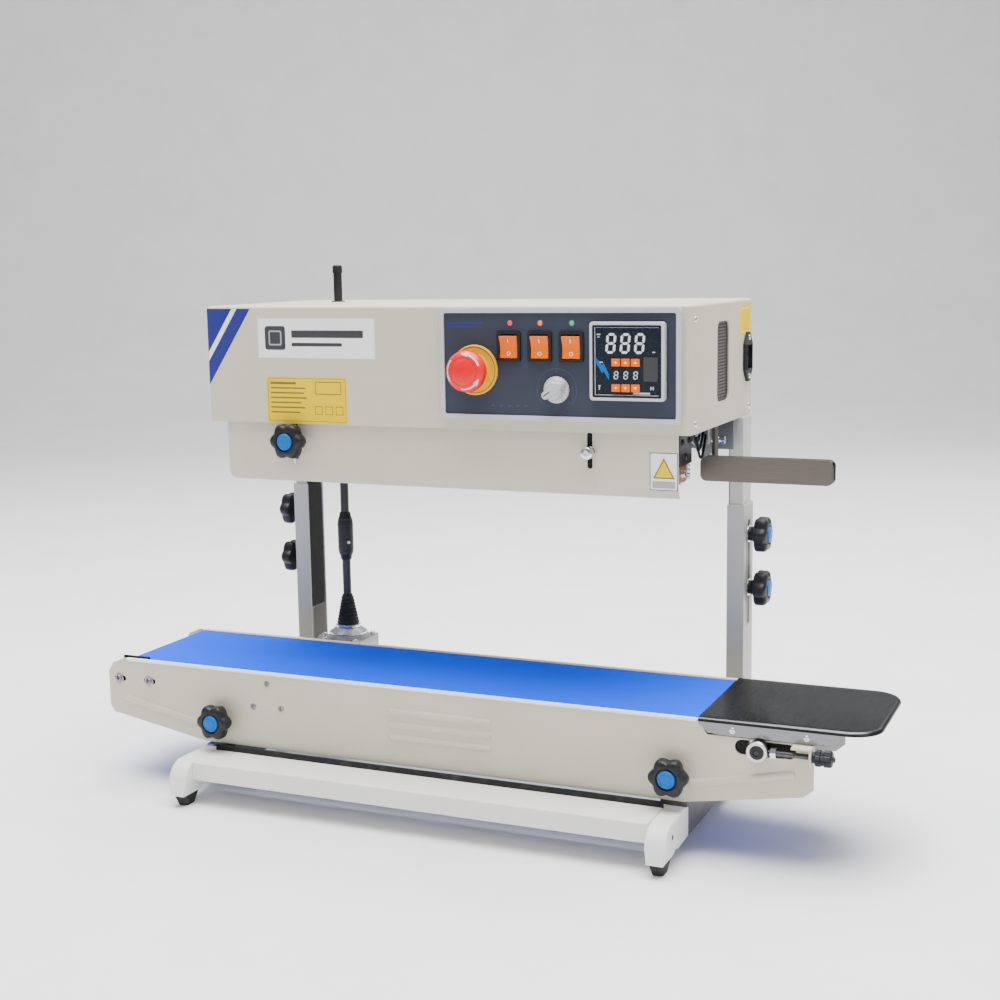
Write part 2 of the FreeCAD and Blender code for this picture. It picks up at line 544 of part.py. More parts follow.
def tension_roller():
    """The idle roller under the tray, a tube that turns on the carriage's axle."""
    barrel = cylinder(TENSION_X, BELT_FRONT + 2, ROLLER_Z, ROLLER_R, BELT_REAR - BELT_FRONT - 4, Y_AXIS)
    return barrel.cut(cylinder(TENSION_X, BELT_FRONT, ROLLER_Z, 5 + RUN, BELT_REAR - BELT_FRONT, Y_AXIS))


def tension_carriage():
    """The axle of the tension roller, its two heads outside the plates and their threaded rods."""
    y0, y1 = PLATE_FRONT, PLATE_REAR
    axle = cylinder(TENSION_X, y0 - 1, ROLLER_Z, 5.0, y1 - y0 + 2, Y_AXIS)
    pieces = [axle]
    for face, out in ((y0, -1), (y1, 1)):
        near, far = face + out * 0.2, face + out * 11.0
        pieces.append(cylinder(TENSION_X, min(near, far), ROLLER_Z, 9.3, abs(far - near), Y_AXIS))
        rod_y = face + out * 7.0
        pieces.append(cylinder(TENSION_X + 5, rod_y, ROLLER_Z, 2.5, 64 if out < 0 else 40, X_AXIS))
    nut = cylinder(TENSION_X + 12, y0 - 7, ROLLER_Z, 4.5, 5, X_AXIS)
    return fuse(*pieces, nut)


def tension_knob():
    """The round nut that pulls the carriage out; it bears on the bracket."""
    x, y = 354.3, PLATE_FRONT - 7
    body = fuse(cylinder(x, y, ROLLER_Z, 5.0, 3, X_AXIS), cylinder(x + 2, y, ROLLER_Z, 7.6, 16, X_AXIS))
    return body.cut(cylinder(x - 1, y, ROLLER_Z, 2.5 + RUN, 25, X_AXIS))


# ---------------------------------------------------------------- head, fixed pieces
def head_casing():
    """The sheet-metal cover, open below, with its panel opening, vents and inlet hole."""
    shell = box(HEAD_LEFT, HEAD_RIGHT, HEAD_FRONT, HEAD_REAR, HEAD_BOTTOM, HEAD_TOP)
    shell = round_edges(shell, 3.0, lambda e: not along(Z_AXIS)(e) and e.Vertexes[0].Point.z > HEAD_TOP - 1
                        and e.Vertexes[-1].Point.z > HEAD_TOP - 1 or along(Z_AXIS)(e))
    shell = shell.cut(box(HEAD_LEFT + SHEET, HEAD_RIGHT - SHEET, HEAD_FRONT + SHEET, HEAD_REAR - SHEET,
                          HEAD_BOTTOM, HEAD_TOP - SHEET))
    shell = shell.cut(box(PANEL_LEFT + 8, PANEL_RIGHT - 8, HEAD_FRONT - 1, HEAD_FRONT + SHEET + 1,
                          PANEL_LOW + 8, PANEL_HIGH - 8))
    vent = box(HEAD_RIGHT - 4, HEAD_RIGHT + 1, -5, 37, 409.5, 486.5)
    vent = round_edges(vent, 8.0, along(X_AXIS))
    inlet = box(HEAD_RIGHT - 4, HEAD_RIGHT + 1, 93, 115, 433, 461)
    rod = cylinder(SHAFT_X, SHAFT_Y, HEAD_TOP - 5, 8.0, 8)
    shell = shell.cut(vent).cut(inlet).cut(rod)
    for row in range(6):
        z = 425 + 11 * row
        shell = shell.cut(slot_y(-60, 20, z, z + 5, HEAD_REAR - 3, HEAD_REAR + 1))
    return shell


def wheel_places():
    """Where each vertical shaft passes the head's base plate: (x, y, radius)."""
    places = []
    for y in (WHEEL_FRONT_Y, WHEEL_REAR_Y):
        places.append((DRIVE_WHEEL_X, y, WHEEL_SHAFT_R))
        places.append((IDLE_WHEEL_X, y, WHEEL_SHAFT_R))
    for side in (-1, 1):
        places.append((PRESS_X, press_y(side), 3.0))
    return places


def press_y(side):
    """The Y of a press roller's axis, inside its band; side -1 is the front one."""
    return SEAL_Y + side * (0.2 + BAND_T + 2 * RUN + PRESS_R)


def head_base_plate():
    """The floor of the head: shaft bushes, two tabs for the front guard and an apron at the right."""
    plate = box(HEAD_LEFT + SHEET + 0.1, HEAD_RIGHT - SHEET - 0.1, RAIL_FRONT, HEAD_REAR - SHEET - 0.1,
                HEAD_BOTTOM, HEAD_BOTTOM + 3)
    solids = [plate]
    for x in (GUARD_KNOB_X, THUMB_X):
        solids.append(box(x - 14, x + 14, RAIL_FRONT, RAIL_FRONT + 3, 352, HEAD_BOTTOM + 1))
    for x, y, radius in wheel_places():
        solids.append(cylinder(x, y, HEAD_BOTTOM - 18, radius + 5, 24))
    solids.append(cylinder(SHAFT_X, SHAFT_Y, HEAD_BOTTOM - 8, SHAFT_R + 5, 14))
    solids.append(box(100, HEAD_RIGHT - 3, 66, 68, 356, HEAD_BOTTOM + 1))
    plate = fuse(*solids)
    for x, y, radius in wheel_places() + [(SHAFT_X, SHAFT_Y, SHAFT_R)]:
        plate = plate.cut(cylinder(x, y, HEAD_BOTTOM - 20, radius + RUN, 30))
    plate = plate.cut(cylinder(GUARD_KNOB_X, RAIL_FRONT - 1, GUARD_KNOB_Z, 3.0 + RUN, 5, Y_AXIS))
    return plate.cut(cylinder(THUMB_X, RAIL_FRONT - 1, THUMB_Z, 2.5 + RUN, 5, Y_AXIS))


def inner_posts():
    """Box posts under the head that slide in the columns."""
    posts = []
    for side in (-1, 1):
        outer = CENTRE_X + side * (COLUMN_OUT - COLUMN_WALL - 0.1)
        inner = CENTRE_X + side * (COLUMN_OUT - COLUMN_W + 2.0)
        x0, x1 = min(outer, inner), max(outer, inner)
        half = COLUMN_D / 2 - COLUMN_WALL - 0.1
        post = box(x0, x1, COLUMN_Y - half, COLUMN_Y + half, POST_LOW, HEAD_BOTTOM)
        post = post.cut(box(x0 + POST_WALL, x1 - POST_WALL, COLUMN_Y - half + POST_WALL,
                            COLUMN_Y + half - POST_WALL, POST_LOW, HEAD_BOTTOM - 3))
        for z in COLUMN_KNOB_Z.values():
            post = post.cut(cylinder(outer - side * 3, COLUMN_Y, z, 4.0 + RUN, 6, V(side, 0, 0)))
        posts.append(post)
    return posts


def control_panel():
    """The raised panel plate with its rim and the openings for its instruments."""
    plate = box(PANEL_LEFT, PANEL_RIGHT, PANEL_RIM, PANEL_BACK, PANEL_LOW, PANEL_HIGH)
    plate = round_edges(plate, 3.0, along(Y_AXIS))
    face = box(PANEL_LEFT + PANEL_BORDER, PANEL_RIGHT - PANEL_BORDER, PANEL_RIM - 1, PANEL_FACE,
               PANEL_LOW + PANEL_BORDER, PANEL_HIGH - PANEL_BORDER)
    plate = plate.cut(round_edges(face, 2.0, along(Y_AXIS)))
    plate = plate.cut(cylinder(ESTOP_X, PANEL_RIM - 1, ESTOP_Z, 11.1, 9, Y_AXIS))
    plate = plate.cut(cylinder(KNOB_X, PANEL_RIM - 1, KNOB_Z, 3.0 + RUN, 9, Y_AXIS))
    for x in ROCKER_X:
        plate = plate.cut(box(x - 10.6, x + 10.6, PANEL_RIM - 1, PANEL_BACK + 1, ROCKER_Z - 12.6, ROCKER_Z + 12.6))
    half = CONTROLLER_SIZE / 2 - 2.9
    return plate.cut(box(CONTROLLER_X - half, CONTROLLER_X + half, PANEL_RIM - 1, PANEL_BACK + 1,
                         CONTROLLER_Z - half, CONTROLLER_Z + half))


def button_places():
    """The six digit buttons of the controller: name to (x, z)."""
    places = {}
    for row, z in BUTTON_ROWS.items():
        for i, column in enumerate(("left", "middle", "right")):
            places[f"digit_button_{row}_{column}"] = (BUTTON_X + (i - 1) * BUTTON_PITCH, z)
    return places


def temperature_controller():
    """The temperature controller: bezel in front of the panel, case behind, pockets for buttons."""
    half = CONTROLLER_SIZE / 2
    front = PANEL_FACE - 7.0
    bezel = box(CONTROLLER_X - half, CONTROLLER_X + half, front, PANEL_FACE - 0.1,
                CONTROLLER_Z - half, CONTROLLER_Z + half)
    bezel = round_edges(bezel, 3.0, along(Y_AXIS))
    window = box(CONTROLLER_X - half + 5, CONTROLLER_X + half - 5, front - 1, front + 1.5,
                 CONTROLLER_Z - half + 5, CONTROLLER_Z + half - 5)
    case_half = half - 3.0
    case = box(CONTROLLER_X - case_half, CONTROLLER_X + case_half, PANEL_FACE - 1, PANEL_FACE + 58,
               CONTROLLER_Z - case_half, CONTROLLER_Z + case_half)
    body = fuse(bezel, case).cut(window)
    for x, z in button_places().values():
        body = body.cut(box(x - BUTTON_W / 2 - 0.1, x + BUTTON_W / 2 + 0.1, front, front + 6.5,
                            z - BUTTON_H / 2 - 0.1, z + BUTTON_H / 2 + 0.1))
    return body


def digit_button(x, z):
    """One push button in its pocket."""
    front = PANEL_FACE - 7.0
    button = box(x - BUTTON_W / 2, x + BUTTON_W / 2, front + 0.3, front + 5.2, z - BUTTON_H / 2, z + BUTTON_H / 2)
    return round_edges(button, 0.8, along(Y_AXIS))


def switch_bezels():
    """The frames and bodies of the three rocker switches."""
    bezels = []
    for x in ROCKER_X:
        flange = box(x - ROCKER_W / 2, x + ROCKER_W / 2, PANEL_FACE - 2.5, PANEL_FACE - 0.05,
                     ROCKER_Z - ROCKER_H / 2, ROCKER_Z + ROCKER_H / 2)
        flange = round_edges(flange, 1.5, along(Y_AXIS))
        body = box(x - 10.4, x + 10.4, PANEL_FACE - 1, PANEL_FACE + 22, ROCKER_Z - 12.4, ROCKER_Z + 12.4)
        well = box(x - 9.2, x + 9.2, PANEL_FACE - 3, PANEL_FACE + 10, ROCKER_Z - 11.6, ROCKER_Z + 11.6)
        bezels.append(fuse(flange, body).cut(well))
    return bezels


def rocker(x):
    """A rocker, shown with its lower half pressed in; it tips about a line along X."""
    points = [(0.0, -10.6), (7.0, -8.0), (7.0, 8.0), (0.0, 10.6), (-5.4, 10.6), (-3.2, 0.0), (-5.4, -10.6)]
    pivot = PANEL_FACE + 1.5
    body = prism_yz([(pivot + y, ROCKER_Z + z) for y, z in points], x - 9.0, x + 9.0)
    body.rotate(V(x, pivot, ROCKER_Z), X_AXIS, 8.0)
    return body


def estop_body():
    """The emergency stop's collar, yellow disc and threaded barrel."""
    centre = V(ESTOP_X, PANEL_FACE, ESTOP_Z)
    back = V(0, -1, 0)
    profile = [(8.05, -30), (10.9, -30), (10.9, 0.05), (ESTOP_DISC_R, 0.05), (ESTOP_DISC_R, 2.0),
               (ESTOP_DISC_R - 1, 3.0), (16.0, 3.0), (14.5, 7.0), (8.05, 7.0)]
    return revolve(profile, centre, back)


def estop_button():
    """The mushroom head and its stem."""
    centre = V(ESTOP_X, PANEL_FACE, ESTOP_Z)
    profile = [(0, -24), (8.0, -24), (8.0, 14), (18.5, 14), (20.0, 17), (20.0, 22), (17.0, 27), (10.0, 29.5),
               (0, 30.0)]
    return revolve(profile, centre, V(0, -1, 0))


def speed_knob():
    """The speed dial's knob with its skirt and shaft."""
    centre = V(KNOB_X, PANEL_FACE, KNOB_Z)
    profile = [(0, -14), (3.0, -14), (3.0, 0.4), (13.0, 0.4), (13.0, 2.5), (10.0, 4.5), (9.2, 15.0), (8.2, 16.0),
               (0, 16.0)]
    return revolve(profile, centre, V(0, -1, 0))


def power_inlet():
    """The mains inlet: a flange with pointed ears and a socket body."""
    y, z = 104.0, 447.0
    flange = prism_yz([(y - 14, z - 13), (y - 4, z - 25), (y + 4, z - 25), (y + 14, z - 13), (y + 14, z + 13),
                       (y + 4, z + 25), (y - 4, z + 25), (y - 14, z + 13)], HEAD_RIGHT + 0.05, HEAD_RIGHT + 3)
    body = box(HEAD_RIGHT - 26, HEAD_RIGHT + 1, y - 10.8, y + 10.8, z - 13.8, z + 13.8)
    well = box(HEAD_RIGHT - 16, HEAD_RIGHT + 4, y - 8.5, y + 8.5, z - 12, z + 12)
    pins = []
    for dy, dz in ((-3.5, 0), (3.5, -7), (3.5, 7)):
        pins.append(box(HEAD_RIGHT - 17, HEAD_RIGHT - 1, y + dy - 1, y + dy + 1, z + dz - 2, z + dz + 2))
    return fuse(fuse(flange, body).cut(well), *pins)


def drive_motor():
    """The geared motor that stands on three pillars over the gear train."""
    low = GEAR_LOW + GEAR_T + 4
    can = revolve([(0, 0), (38, 0), (38, 6), (34, 8), (34, 62), (30, 68), (30, 84), (0, 84)],
                  V(MOTOR_X, MOTOR_Y, low))
    pieces = [can]
    for angle in (35, 95, 335):
        x = MOTOR_X + 31 * math.cos(math.radians(angle))
        y = MOTOR_Y + 31 * math.sin(math.radians(angle))
        pieces.append(cylinder(x, y, HEAD_BOTTOM + 3, 4, low - HEAD_BOTTOM - 2))
    return fuse(*pieces).cut(cylinder(MOTOR_X, MOTOR_Y, low - 1, 4 + RUN, 20))


def cooling_fan_frame():
    """The square frame of the fan that cools the sealing section, on the base plate."""
    x, y, low = 60.0, 70.0, HEAD_BOTTOM + 3
    frame = box(x - 30, x + 30, y - 30, y + 30, low, low + 25)
    frame = round_edges(frame, 4.0, along(Z_AXIS)).cut(cylinder(x, y, low - 1, 27.5, 27))
    spokes = []
    for angle in (0, 120, 240):
        arm = box(0, 28, -2, 2, 0, 2)
        arm.rotate(V(0, 0, 0), Z_AXIS, angle + 30)
        arm.translate(V(x, y, low))
        spokes.append(arm)
    hub = cylinder(x, y, low, 11, 3)
    pin = cylinder(x, y, low, 1.5, 16)
    return fuse(frame, hub, pin, *spokes)


def fan_rotor():
    """The seven-bladed rotor."""
    x, y, low = 60.0, 70.0, HEAD_BOTTOM + 7
    hub = cylinder(x, y, low, 11, 17)
    blades = []
    for i in range(7):
        blade = box(9, 26, -1, 1, 0, 14)
        blade.rotate(V(0, 0, 7), X_AXIS, 38)
        blade = blade.common(box(0, 30, -20, 20, 1, 13))
        blade.rotate(V(0, 0, 0), Z_AXIS, 360 / 7 * i)
        blade.translate(V(x, y, low))
        blades.append(blade)
    return fuse(hub, *blades).cut(cylinder(x, y, low - 1, 1.5 + RUN, 20))


def bag_guide():
    """The stainless infeed guide: a channel open below, held under the head by a bent bracket."""
    x0, x1, z0, z1 = 219.0, 346.0, 336.0, 359.5
    y0, y1 = SEAL_Y - 6, SEAL_Y + 6
    bar = box(x0, x1, y0, y1, z0, z1)
    bar = round_edges(bar, 6.0, along(Y_AXIS))
    bar = bar.cut(box(x0 - 1, x1 + 1, y0 + 1.5, y1 - 1.5, z0 - 1, z1 - 2))
    bracket = fuse(box(x0 + 3, x0 + 6, y1 - 1, y1 + 30, z0 + 8, z1 - 2),
                   box(x0 + 3, x0 + 6, y1 + 18, y1 + 30, z0 + 8, HEAD_BOTTOM))
    return fuse(bar, bracket)


def seal_blocks(x0, x1, fins):
    """A pair of blocks that bear on the backs of the bands, hung from the base plate."""
    blocks = []
    for side in (-1, 1):
        near = SEAL_Y + side * (0.2 + BAND_T + 0.2)
        far = near + side * 20
        y0, y1 = min(near, far), max(near, far)
        block = box(x0, x1, y0, y1, BAND_LOW - 1, BAND_LOW + BAND_H + 2)
        for i in range(fins):
            x = x0 + (i + 1) * (x1 - x0) / (fins + 1)
            fin_y = sorted((far + side, far - side * 12))
            block = block.cut(box(x - 1.5, x + 1.5, fin_y[0], fin_y[1], BAND_LOW - 2, BAND_LOW + BAND_H + 3))
        hangers = [cylinder(x, SEAL_Y + side * 6, BAND_LOW + BAND_H + 1, 3, HEAD_BOTTOM - BAND_LOW - BAND_H - 1)
                   for x in (x0 + 10, x1 - 10)]
        blocks.append(fuse(block, *hangers))
    return blocks


def sealing_bands():
    """Two endless sealing bands, one round each pair of wheels."""
    bands = []
    for y in (WHEEL_FRONT_Y, WHEEL_REAR_Y):
        circles = [(DRIVE_WHEEL_X, y, WHEEL_R, 1), (IDLE_WHEEL_X, y, WHEEL_R, 1)]
        place = lambda px, py: V(px, py, BAND_LOW)
        bands.append(belt_loop(circles, BAND_T, place, V(0, 0, BAND_H)))
    return bands


# ---------------------------------------------------------------- head, turning pieces
def band_wheel(x, y, shaft_top):
    """A rimmed wheel on a vertical shaft that runs in the base plate's bush."""
    low = BAND_LOW - 2
    rim = revolve([(0, 0), (11, 0), (11, 4), (24, 4), (24, 0), (WHEEL_R, 0), (WHEEL_R, BAND_H + 4),
                   (24, BAND_H + 4), (24, 12), (11, 12), (11, BAND_H + 5), (0, BAND_H + 5)], V(x, y, low))
    return fuse(rim, cylinder(x, y, low, WHEEL_SHAFT_R, shaft_top - low))


def gear_phases():
    """The rest phase of every gear, so that the train is in mesh."""
    rear, front = (DRIVE_WHEEL_X, WHEEL_REAR_Y), (DRIVE_WHEEL_X, WHEEL_FRONT_Y)
    band = TEETH["band"]
    return {"rear": 0.0,
            "front": mesh_phase(rear, band, 0.0, front, band),
            "shaft": mesh_phase(rear, band, 0.0, (SHAFT_X, SHAFT_Y), TEETH["shaft"]),
            "motor": mesh_phase(rear, band, 0.0, (MOTOR_X, MOTOR_Y), TEETH["motor"])}


def drive_wheel(y, phase):
    """A driven band wheel, its shaft and the gear on the shaft."""
    wheel = band_wheel(DRIVE_WHEEL_X, y, GEAR_LOW + GEAR_T + 2)
    gear = spur_gear(DRIVE_WHEEL_X, y, GEAR_LOW, TEETH["band"], phase, WHEEL_SHAFT_R - 0.3)
    return fuse(wheel, gear)


def shaft_gear(phase):
    """The gear that turns the vertical shaft and lets it slide through its bore."""
    gear = spur_gear(SHAFT_X, SHAFT_Y, GEAR_LOW, TEETH["shaft"], phase, SHAFT_R + RUN)
    hub = revolve([(SHAFT_R + RUN, 0), (11, 0), (11, 12), (SHAFT_R + RUN, 12)],
                  V(SHAFT_X, SHAFT_Y, GEAR_LOW + GEAR_T - 1))
    return fuse(gear, hub)


def motor_pinion(phase):
    """The motor's output shaft with its pinion."""
    gear = spur_gear(MOTOR_X, MOTOR_Y, GEAR_LOW, TEETH["motor"], phase, 3.5)
    return fuse(gear, cylinder(MOTOR_X, MOTOR_Y, GEAR_LOW - 3, 4, GEAR_T + 18))


def press_wheel(side):
    """A knurl-faced press roller inside a band."""
    y = press_y(side)
    body = cylinder(PRESS_X, y, BAND_LOW - 1, PRESS_R, BAND_H + 2)
    return fuse(body, cylinder(PRESS_X, y, BAND_LOW - 1, 3.0, HEAD_BOTTOM + 6 - BAND_LOW))


# ---------------------------------------------------------------- front guard and its screws
def front_guard():
    """The sheet guard, slotted for its two screws, with a lip bent in along its foot."""
    y0, y1 = GUARD_FRONT, GUARD_FRONT + GUARD_T
    sheet = box(GUARD_LEFT, GUARD_RIGHT, y0, y1, GUARD_LOW + GUARD_LIP, GUARD_HIGH)
    bend = GUARD_LOW + GUARD_LIP
    lip = prism_yz([(y0, bend), (y1, bend), (y1 + 4, GUARD_LOW), (y0 + 4, GUARD_LOW)], GUARD_LEFT, GUARD_RIGHT)
    guard = fuse(sheet, lip)
    corner = box(GUARD_LEFT - 1, GUARD_LEFT + 6, y0 - 1, y1 + 6, GUARD_LOW - 1, GUARD_LOW + 6)
    guard = guard.cut(corner.cut(cylinder(GUARD_LEFT + 6, y0 - 1, GUARD_LOW + 6, 6, 14, Y_AXIS)))
    guard = guard.cut(slot_y(GUARD_KNOB_X - 3.2, GUARD_KNOB_X + 3.2, 344, 388, y0 - 1, y1 + 1))
    return guard.cut(slot_y(THUMB_X - 2.7, THUMB_X + 2.7, 352.5, 387, y0 - 1, y1 + 1))


def guard_thumbscrew():
    """The knurled thumbscrew of the guard."""
    base = V(THUMB_X, GUARD_FRONT - 0.1, THUMB_Z)
    return revolve([(0, -8.5), (2.5, -8.5), (2.5, 0), (6.0, 0), (6.0, 1.5), (4.0, 1.5), (4.0, 3.5), (6.2, 3.5),
                    (6.2, 10), (5.2, 11), (0, 11)], base, V(0, -1, 0))


# ---------------------------------------------------------------- all nodes
def main():
    save("base_beams", *base_beams())
    save("cross_bars", *cross_bars())
    save("foot_caps", *foot_caps())
    save("base_rubber", *base_rubber())
    save("outer_columns", *outer_columns())

    save("conveyor_front_plate", conveyor_front_plate())
    save("conveyor_rear_plate", conveyor_rear_plate())
    save("slider_bed", *slider_bed())
    save("conveyor_belt", conveyor_belt())
    save("feeding_tray", feeding_tray())
    save("bevel_gearbox", bevel_gearbox())
    save("drive_roller", drive_roller())
    save("drive_shaft", drive_shaft())
    save("end_roller", end_roller())
    save("tension_roller", tension_roller())
    save("tension_carriage", tension_carriage())
    save("tension_knob", tension_knob())
    for name, x in CLAMP_X.items():
        save(f"conveyor_knob_{name}", star_knob(V(x, PLATE_FRONT - 0.1, CLAMP_Z), V(0, -1, 0), 4.0, 6.0))

    save("head_casing", head_casing())
    save("head_base_plate", head_base_plate())
    save("inner_posts", *inner_posts())
    for side, hand in ((-1, "left"), (1, "right")):
        for level, z in COLUMN_KNOB_Z.items():
            face = V(CENTRE_X + side * (COLUMN_OUT + 0.1), COLUMN_Y, z)
            save(f"column_knob_{hand}_{level}", star_knob(face, V(side, 0, 0), 4.0, 9.0))
    save("control_panel", control_panel())
    save("temperature_controller", temperature_controller())
    for name, (x, z) in button_places().items():
        save(name, digit_button(x, z))
    save("switch_bezels", *switch_bezels())
    for name, x in zip(("left", "middle", "right"), ROCKER_X):
        save(f"rocker_switch_{name}", rocker(x))
    save("estop_body", estop_body())
    save("estop_button", estop_button())
    save("speed_knob", speed_knob())
    save("power_inlet", power_inlet())
    save("cooling_fan_frame", cooling_fan_frame())
    save("fan_rotor", fan_rotor())
    save("bag_guide", bag_guide())
    save("heating_blocks", *seal_blocks(0.0, 86.0, 0))
    save("cooling_blocks", *seal_blocks(-75.0, -15.0, 5))
    save("sealing_bands", *sealing_bands())

    phases = gear_phases()
    save("drive_motor", drive_motor())
    save("motor_pinion", motor_pinion(phases["motor"]))
    save("shaft_gear", shaft_gear(phases["shaft"]))
    save("drive_wheel_front", drive_wheel(WHEEL_FRONT_Y, phases["front"]))
    save("drive_wheel_rear", drive_wheel(WHEEL_REAR_Y, phases["rear"]))
    save("idle_wheel_front", band_wheel(IDLE_WHEEL_X, WHEEL_FRONT_Y, HEAD_BOTTOM + 8))
    save("idle_wheel_rear", band_wheel(IDLE_WHEEL_X, WHEEL_REAR_Y, HEAD_BOTTOM + 8))
    save("press_wheel_front", press_wheel(-1))
    save("press_wheel_rear", press_wheel(1))

    save("front_guard", front_guard())
    save("guard_knob", star_knob(V(GUARD_KNOB_X, GUARD_FRONT - 0.1, GUARD_KNOB_Z), V(0, -1, 0), 3.0, 8.0))
    save("guard_thumbscrew", guard_thumbscrew())


main()
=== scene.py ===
"""Continuous band sealer: the looks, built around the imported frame.

Blender objects are in metres; the sizes below are in millimetres unless they say otherwise.
"""
import json
import math

import bmesh
import bpy
from mathutils import Matrix, Vector


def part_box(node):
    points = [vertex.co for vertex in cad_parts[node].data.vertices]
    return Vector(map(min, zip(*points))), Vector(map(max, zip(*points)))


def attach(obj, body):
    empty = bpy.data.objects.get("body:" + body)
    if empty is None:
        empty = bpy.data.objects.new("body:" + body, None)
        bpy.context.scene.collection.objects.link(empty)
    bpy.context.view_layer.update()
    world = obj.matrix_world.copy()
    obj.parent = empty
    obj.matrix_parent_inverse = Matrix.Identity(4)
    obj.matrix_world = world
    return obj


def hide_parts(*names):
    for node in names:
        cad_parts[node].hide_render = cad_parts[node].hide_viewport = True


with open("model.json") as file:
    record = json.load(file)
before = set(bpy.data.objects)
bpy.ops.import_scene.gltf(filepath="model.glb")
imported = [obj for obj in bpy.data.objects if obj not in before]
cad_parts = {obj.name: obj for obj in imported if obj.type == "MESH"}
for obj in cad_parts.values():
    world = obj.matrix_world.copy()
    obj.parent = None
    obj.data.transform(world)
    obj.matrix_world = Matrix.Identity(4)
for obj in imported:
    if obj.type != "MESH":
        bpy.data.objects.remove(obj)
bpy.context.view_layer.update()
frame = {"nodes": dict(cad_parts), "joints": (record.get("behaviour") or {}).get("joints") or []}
NODES = frame["nodes"]
JOINTS = {joint["name"]: joint for joint in frame["joints"]}
MM = 0.001
X, Y, Z = Vector((1, 0, 0)), Vector((0, 1, 0)), Vector((0, 0, 1))


# ---------- places read from the frame, in mm
class Box:
    """A CAD node's box in millimetres."""

    def __init__(self, name):
        low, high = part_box(name)
        self.x0, self.y0, self.z0 = low / MM
        self.x1, self.y1, self.z1 = high / MM
        self.x, self.y, self.z = (low + high) / (2 * MM)


def pivot(joint):
    """A hinge's point in millimetres."""
    return Vector(JOINTS[joint]["pos_m"]) / MM


CASING, PANEL, GUARD = Box("head_casing"), Box("control_panel"), Box("front_guard")
PLATE, REAR_PLATE, TRAY = Box("conveyor_front_plate"), Box("conveyor_rear_plate"), Box("feeding_tray")
BELT, CONTROLLER, INLET = Box("conveyor_belt"), Box("temperature_controller"), Box("power_inlet")
POSTS, COLUMNS, BEAMS = Box("inner_posts"), Box("outer_columns"), Box("base_beams")
GEARBOX = Box("bevel_gearbox")
TENSION_ROD_STAND_OFF, PLATE_SHEET = 7.0, 2.0
# The front plate's box also holds its lips and the tension bracket, so its face is found from the rod.
PLATE_FACE = Box("tension_knob").y + TENSION_ROD_STAND_OFF
PLATE_BACK = PLATE_FACE + PLATE_SHEET
PANEL_FACE = PANEL.y0 + 1.5
HEAD_UNDERSIDE = round(CASING.z0, 1)
ROCKERS = ("rocker_switch_left", "rocker_switch_middle", "rocker_switch_right")
ROCKER_ROW, LAMP_ROW = 467.0, 489.0


# ---------- materials
class Surface:
    """A principled material whose colour, roughness and bump come from procedural nodes."""

    def __init__(self, name, colour, rough=0.5, metal=0.0, **sockets):
        self.material = bpy.data.materials.new(name)
        self.material.use_nodes = True
        self.tree = self.material.node_tree
        self.shader = self.tree.nodes["Principled BSDF"]
        self.shader.inputs["Base Color"].default_value = (*colour, 1)
        self.shader.inputs["Roughness"].default_value = rough
        self.shader.inputs["Metallic"].default_value = metal
        for socket, value in sockets.items():
            self.shader.inputs[socket.replace("_", " ")].default_value = value
        self.colour = colour
        self.rough = rough
        self.place = self.add("ShaderNodeTexCoord").outputs["Object"]
        self.last_normal = None

    def add(self, kind, **values):
        """A new node; values go to its inputs by name."""
        new = self.tree.nodes.new(kind)
        for name, value in values.items():
            new.inputs[name.replace("_", " ")].default_value = value
        return new

    def link(self, start, end):
        self.tree.links.new(start, end)

    def stretched(self, scale):
        """The object's coordinates scaled by axis, for brushed and woven patterns."""
        mapping = self.add("ShaderNodeMapping", Scale=scale)
        self.link(self.place, mapping.inputs["Vector"])
        return mapping.outputs["Vector"]

    def noise(self, scale, detail=3.0, rough=0.55, stretch=None):
        """A noise value; scale is in cycles per metre."""
        texture = self.add("ShaderNodeTexNoise", Scale=scale, Detail=detail, Roughness=rough)
        self.link(self.stretched(stretch) if stretch else self.place, texture.inputs["Vector"])
        return texture.outputs["Fac"]

    def ramp(self, value, low, high, out_low=0.0, out_high=1.0):
        """value from low..high mapped to out_low..out_high."""
        mapped = self.add("ShaderNodeMapRange", From_Min=low, From_Max=high, To_Min=out_low, To_Max=out_high)
        self.link(value, mapped.inputs["Value"])
        return mapped.outputs["Result"]

    def vary_colour(self, value, second, amount=1.0):
        """Mixes the base colour towards a second colour by a value from 0 to 1."""
        mix = self.tree.nodes.new("ShaderNodeMix")
        mix.data_type = "RGBA"
        factor = self.ramp(value, 0.0, 1.0, 0.0, amount)
        self.link(factor, mix.inputs["Factor"])
        colour_in = self.shader.inputs["Base Color"]
        if colour_in.is_linked:
            self.link(colour_in.links[0].from_socket, mix.inputs["A"])
        else:
            mix.inputs["A"].default_value = (*self.colour, 1)
        mix.inputs["B"].default_value = (*second, 1)
        self.link(mix.outputs["Result"], colour_in)
        return self

    def mottle(self, scale, detail, low, high, second, amount):
        """Patches of a second colour where a noise rises from low to high."""
        return self.vary_colour(self.ramp(self.noise(scale, detail), low, high), second, amount)

    def vary_rough(self, value, low, high):
        """Roughness from low to high as the value goes from 0.3 to 0.7."""
        self.link(self.ramp(value, 0.3, 0.7, low, high), self.shader.inputs["Roughness"])
        return self

    def bump(self, value, height_mm, strength=1.0):
        """Adds a bump of a height in millimetres on top of those before it."""
        bump = self.add("ShaderNodeBump", Strength=strength, Distance=height_mm * MM)
        self.link(value, bump.inputs["Height"])
        if self.last_normal:
            self.link(self.last_normal, bump.inputs["Normal"])
        self.last_normal = bump.outputs["Normal"]
        self.link(self.last_normal, self.shader.inputs["Normal"])
        return self


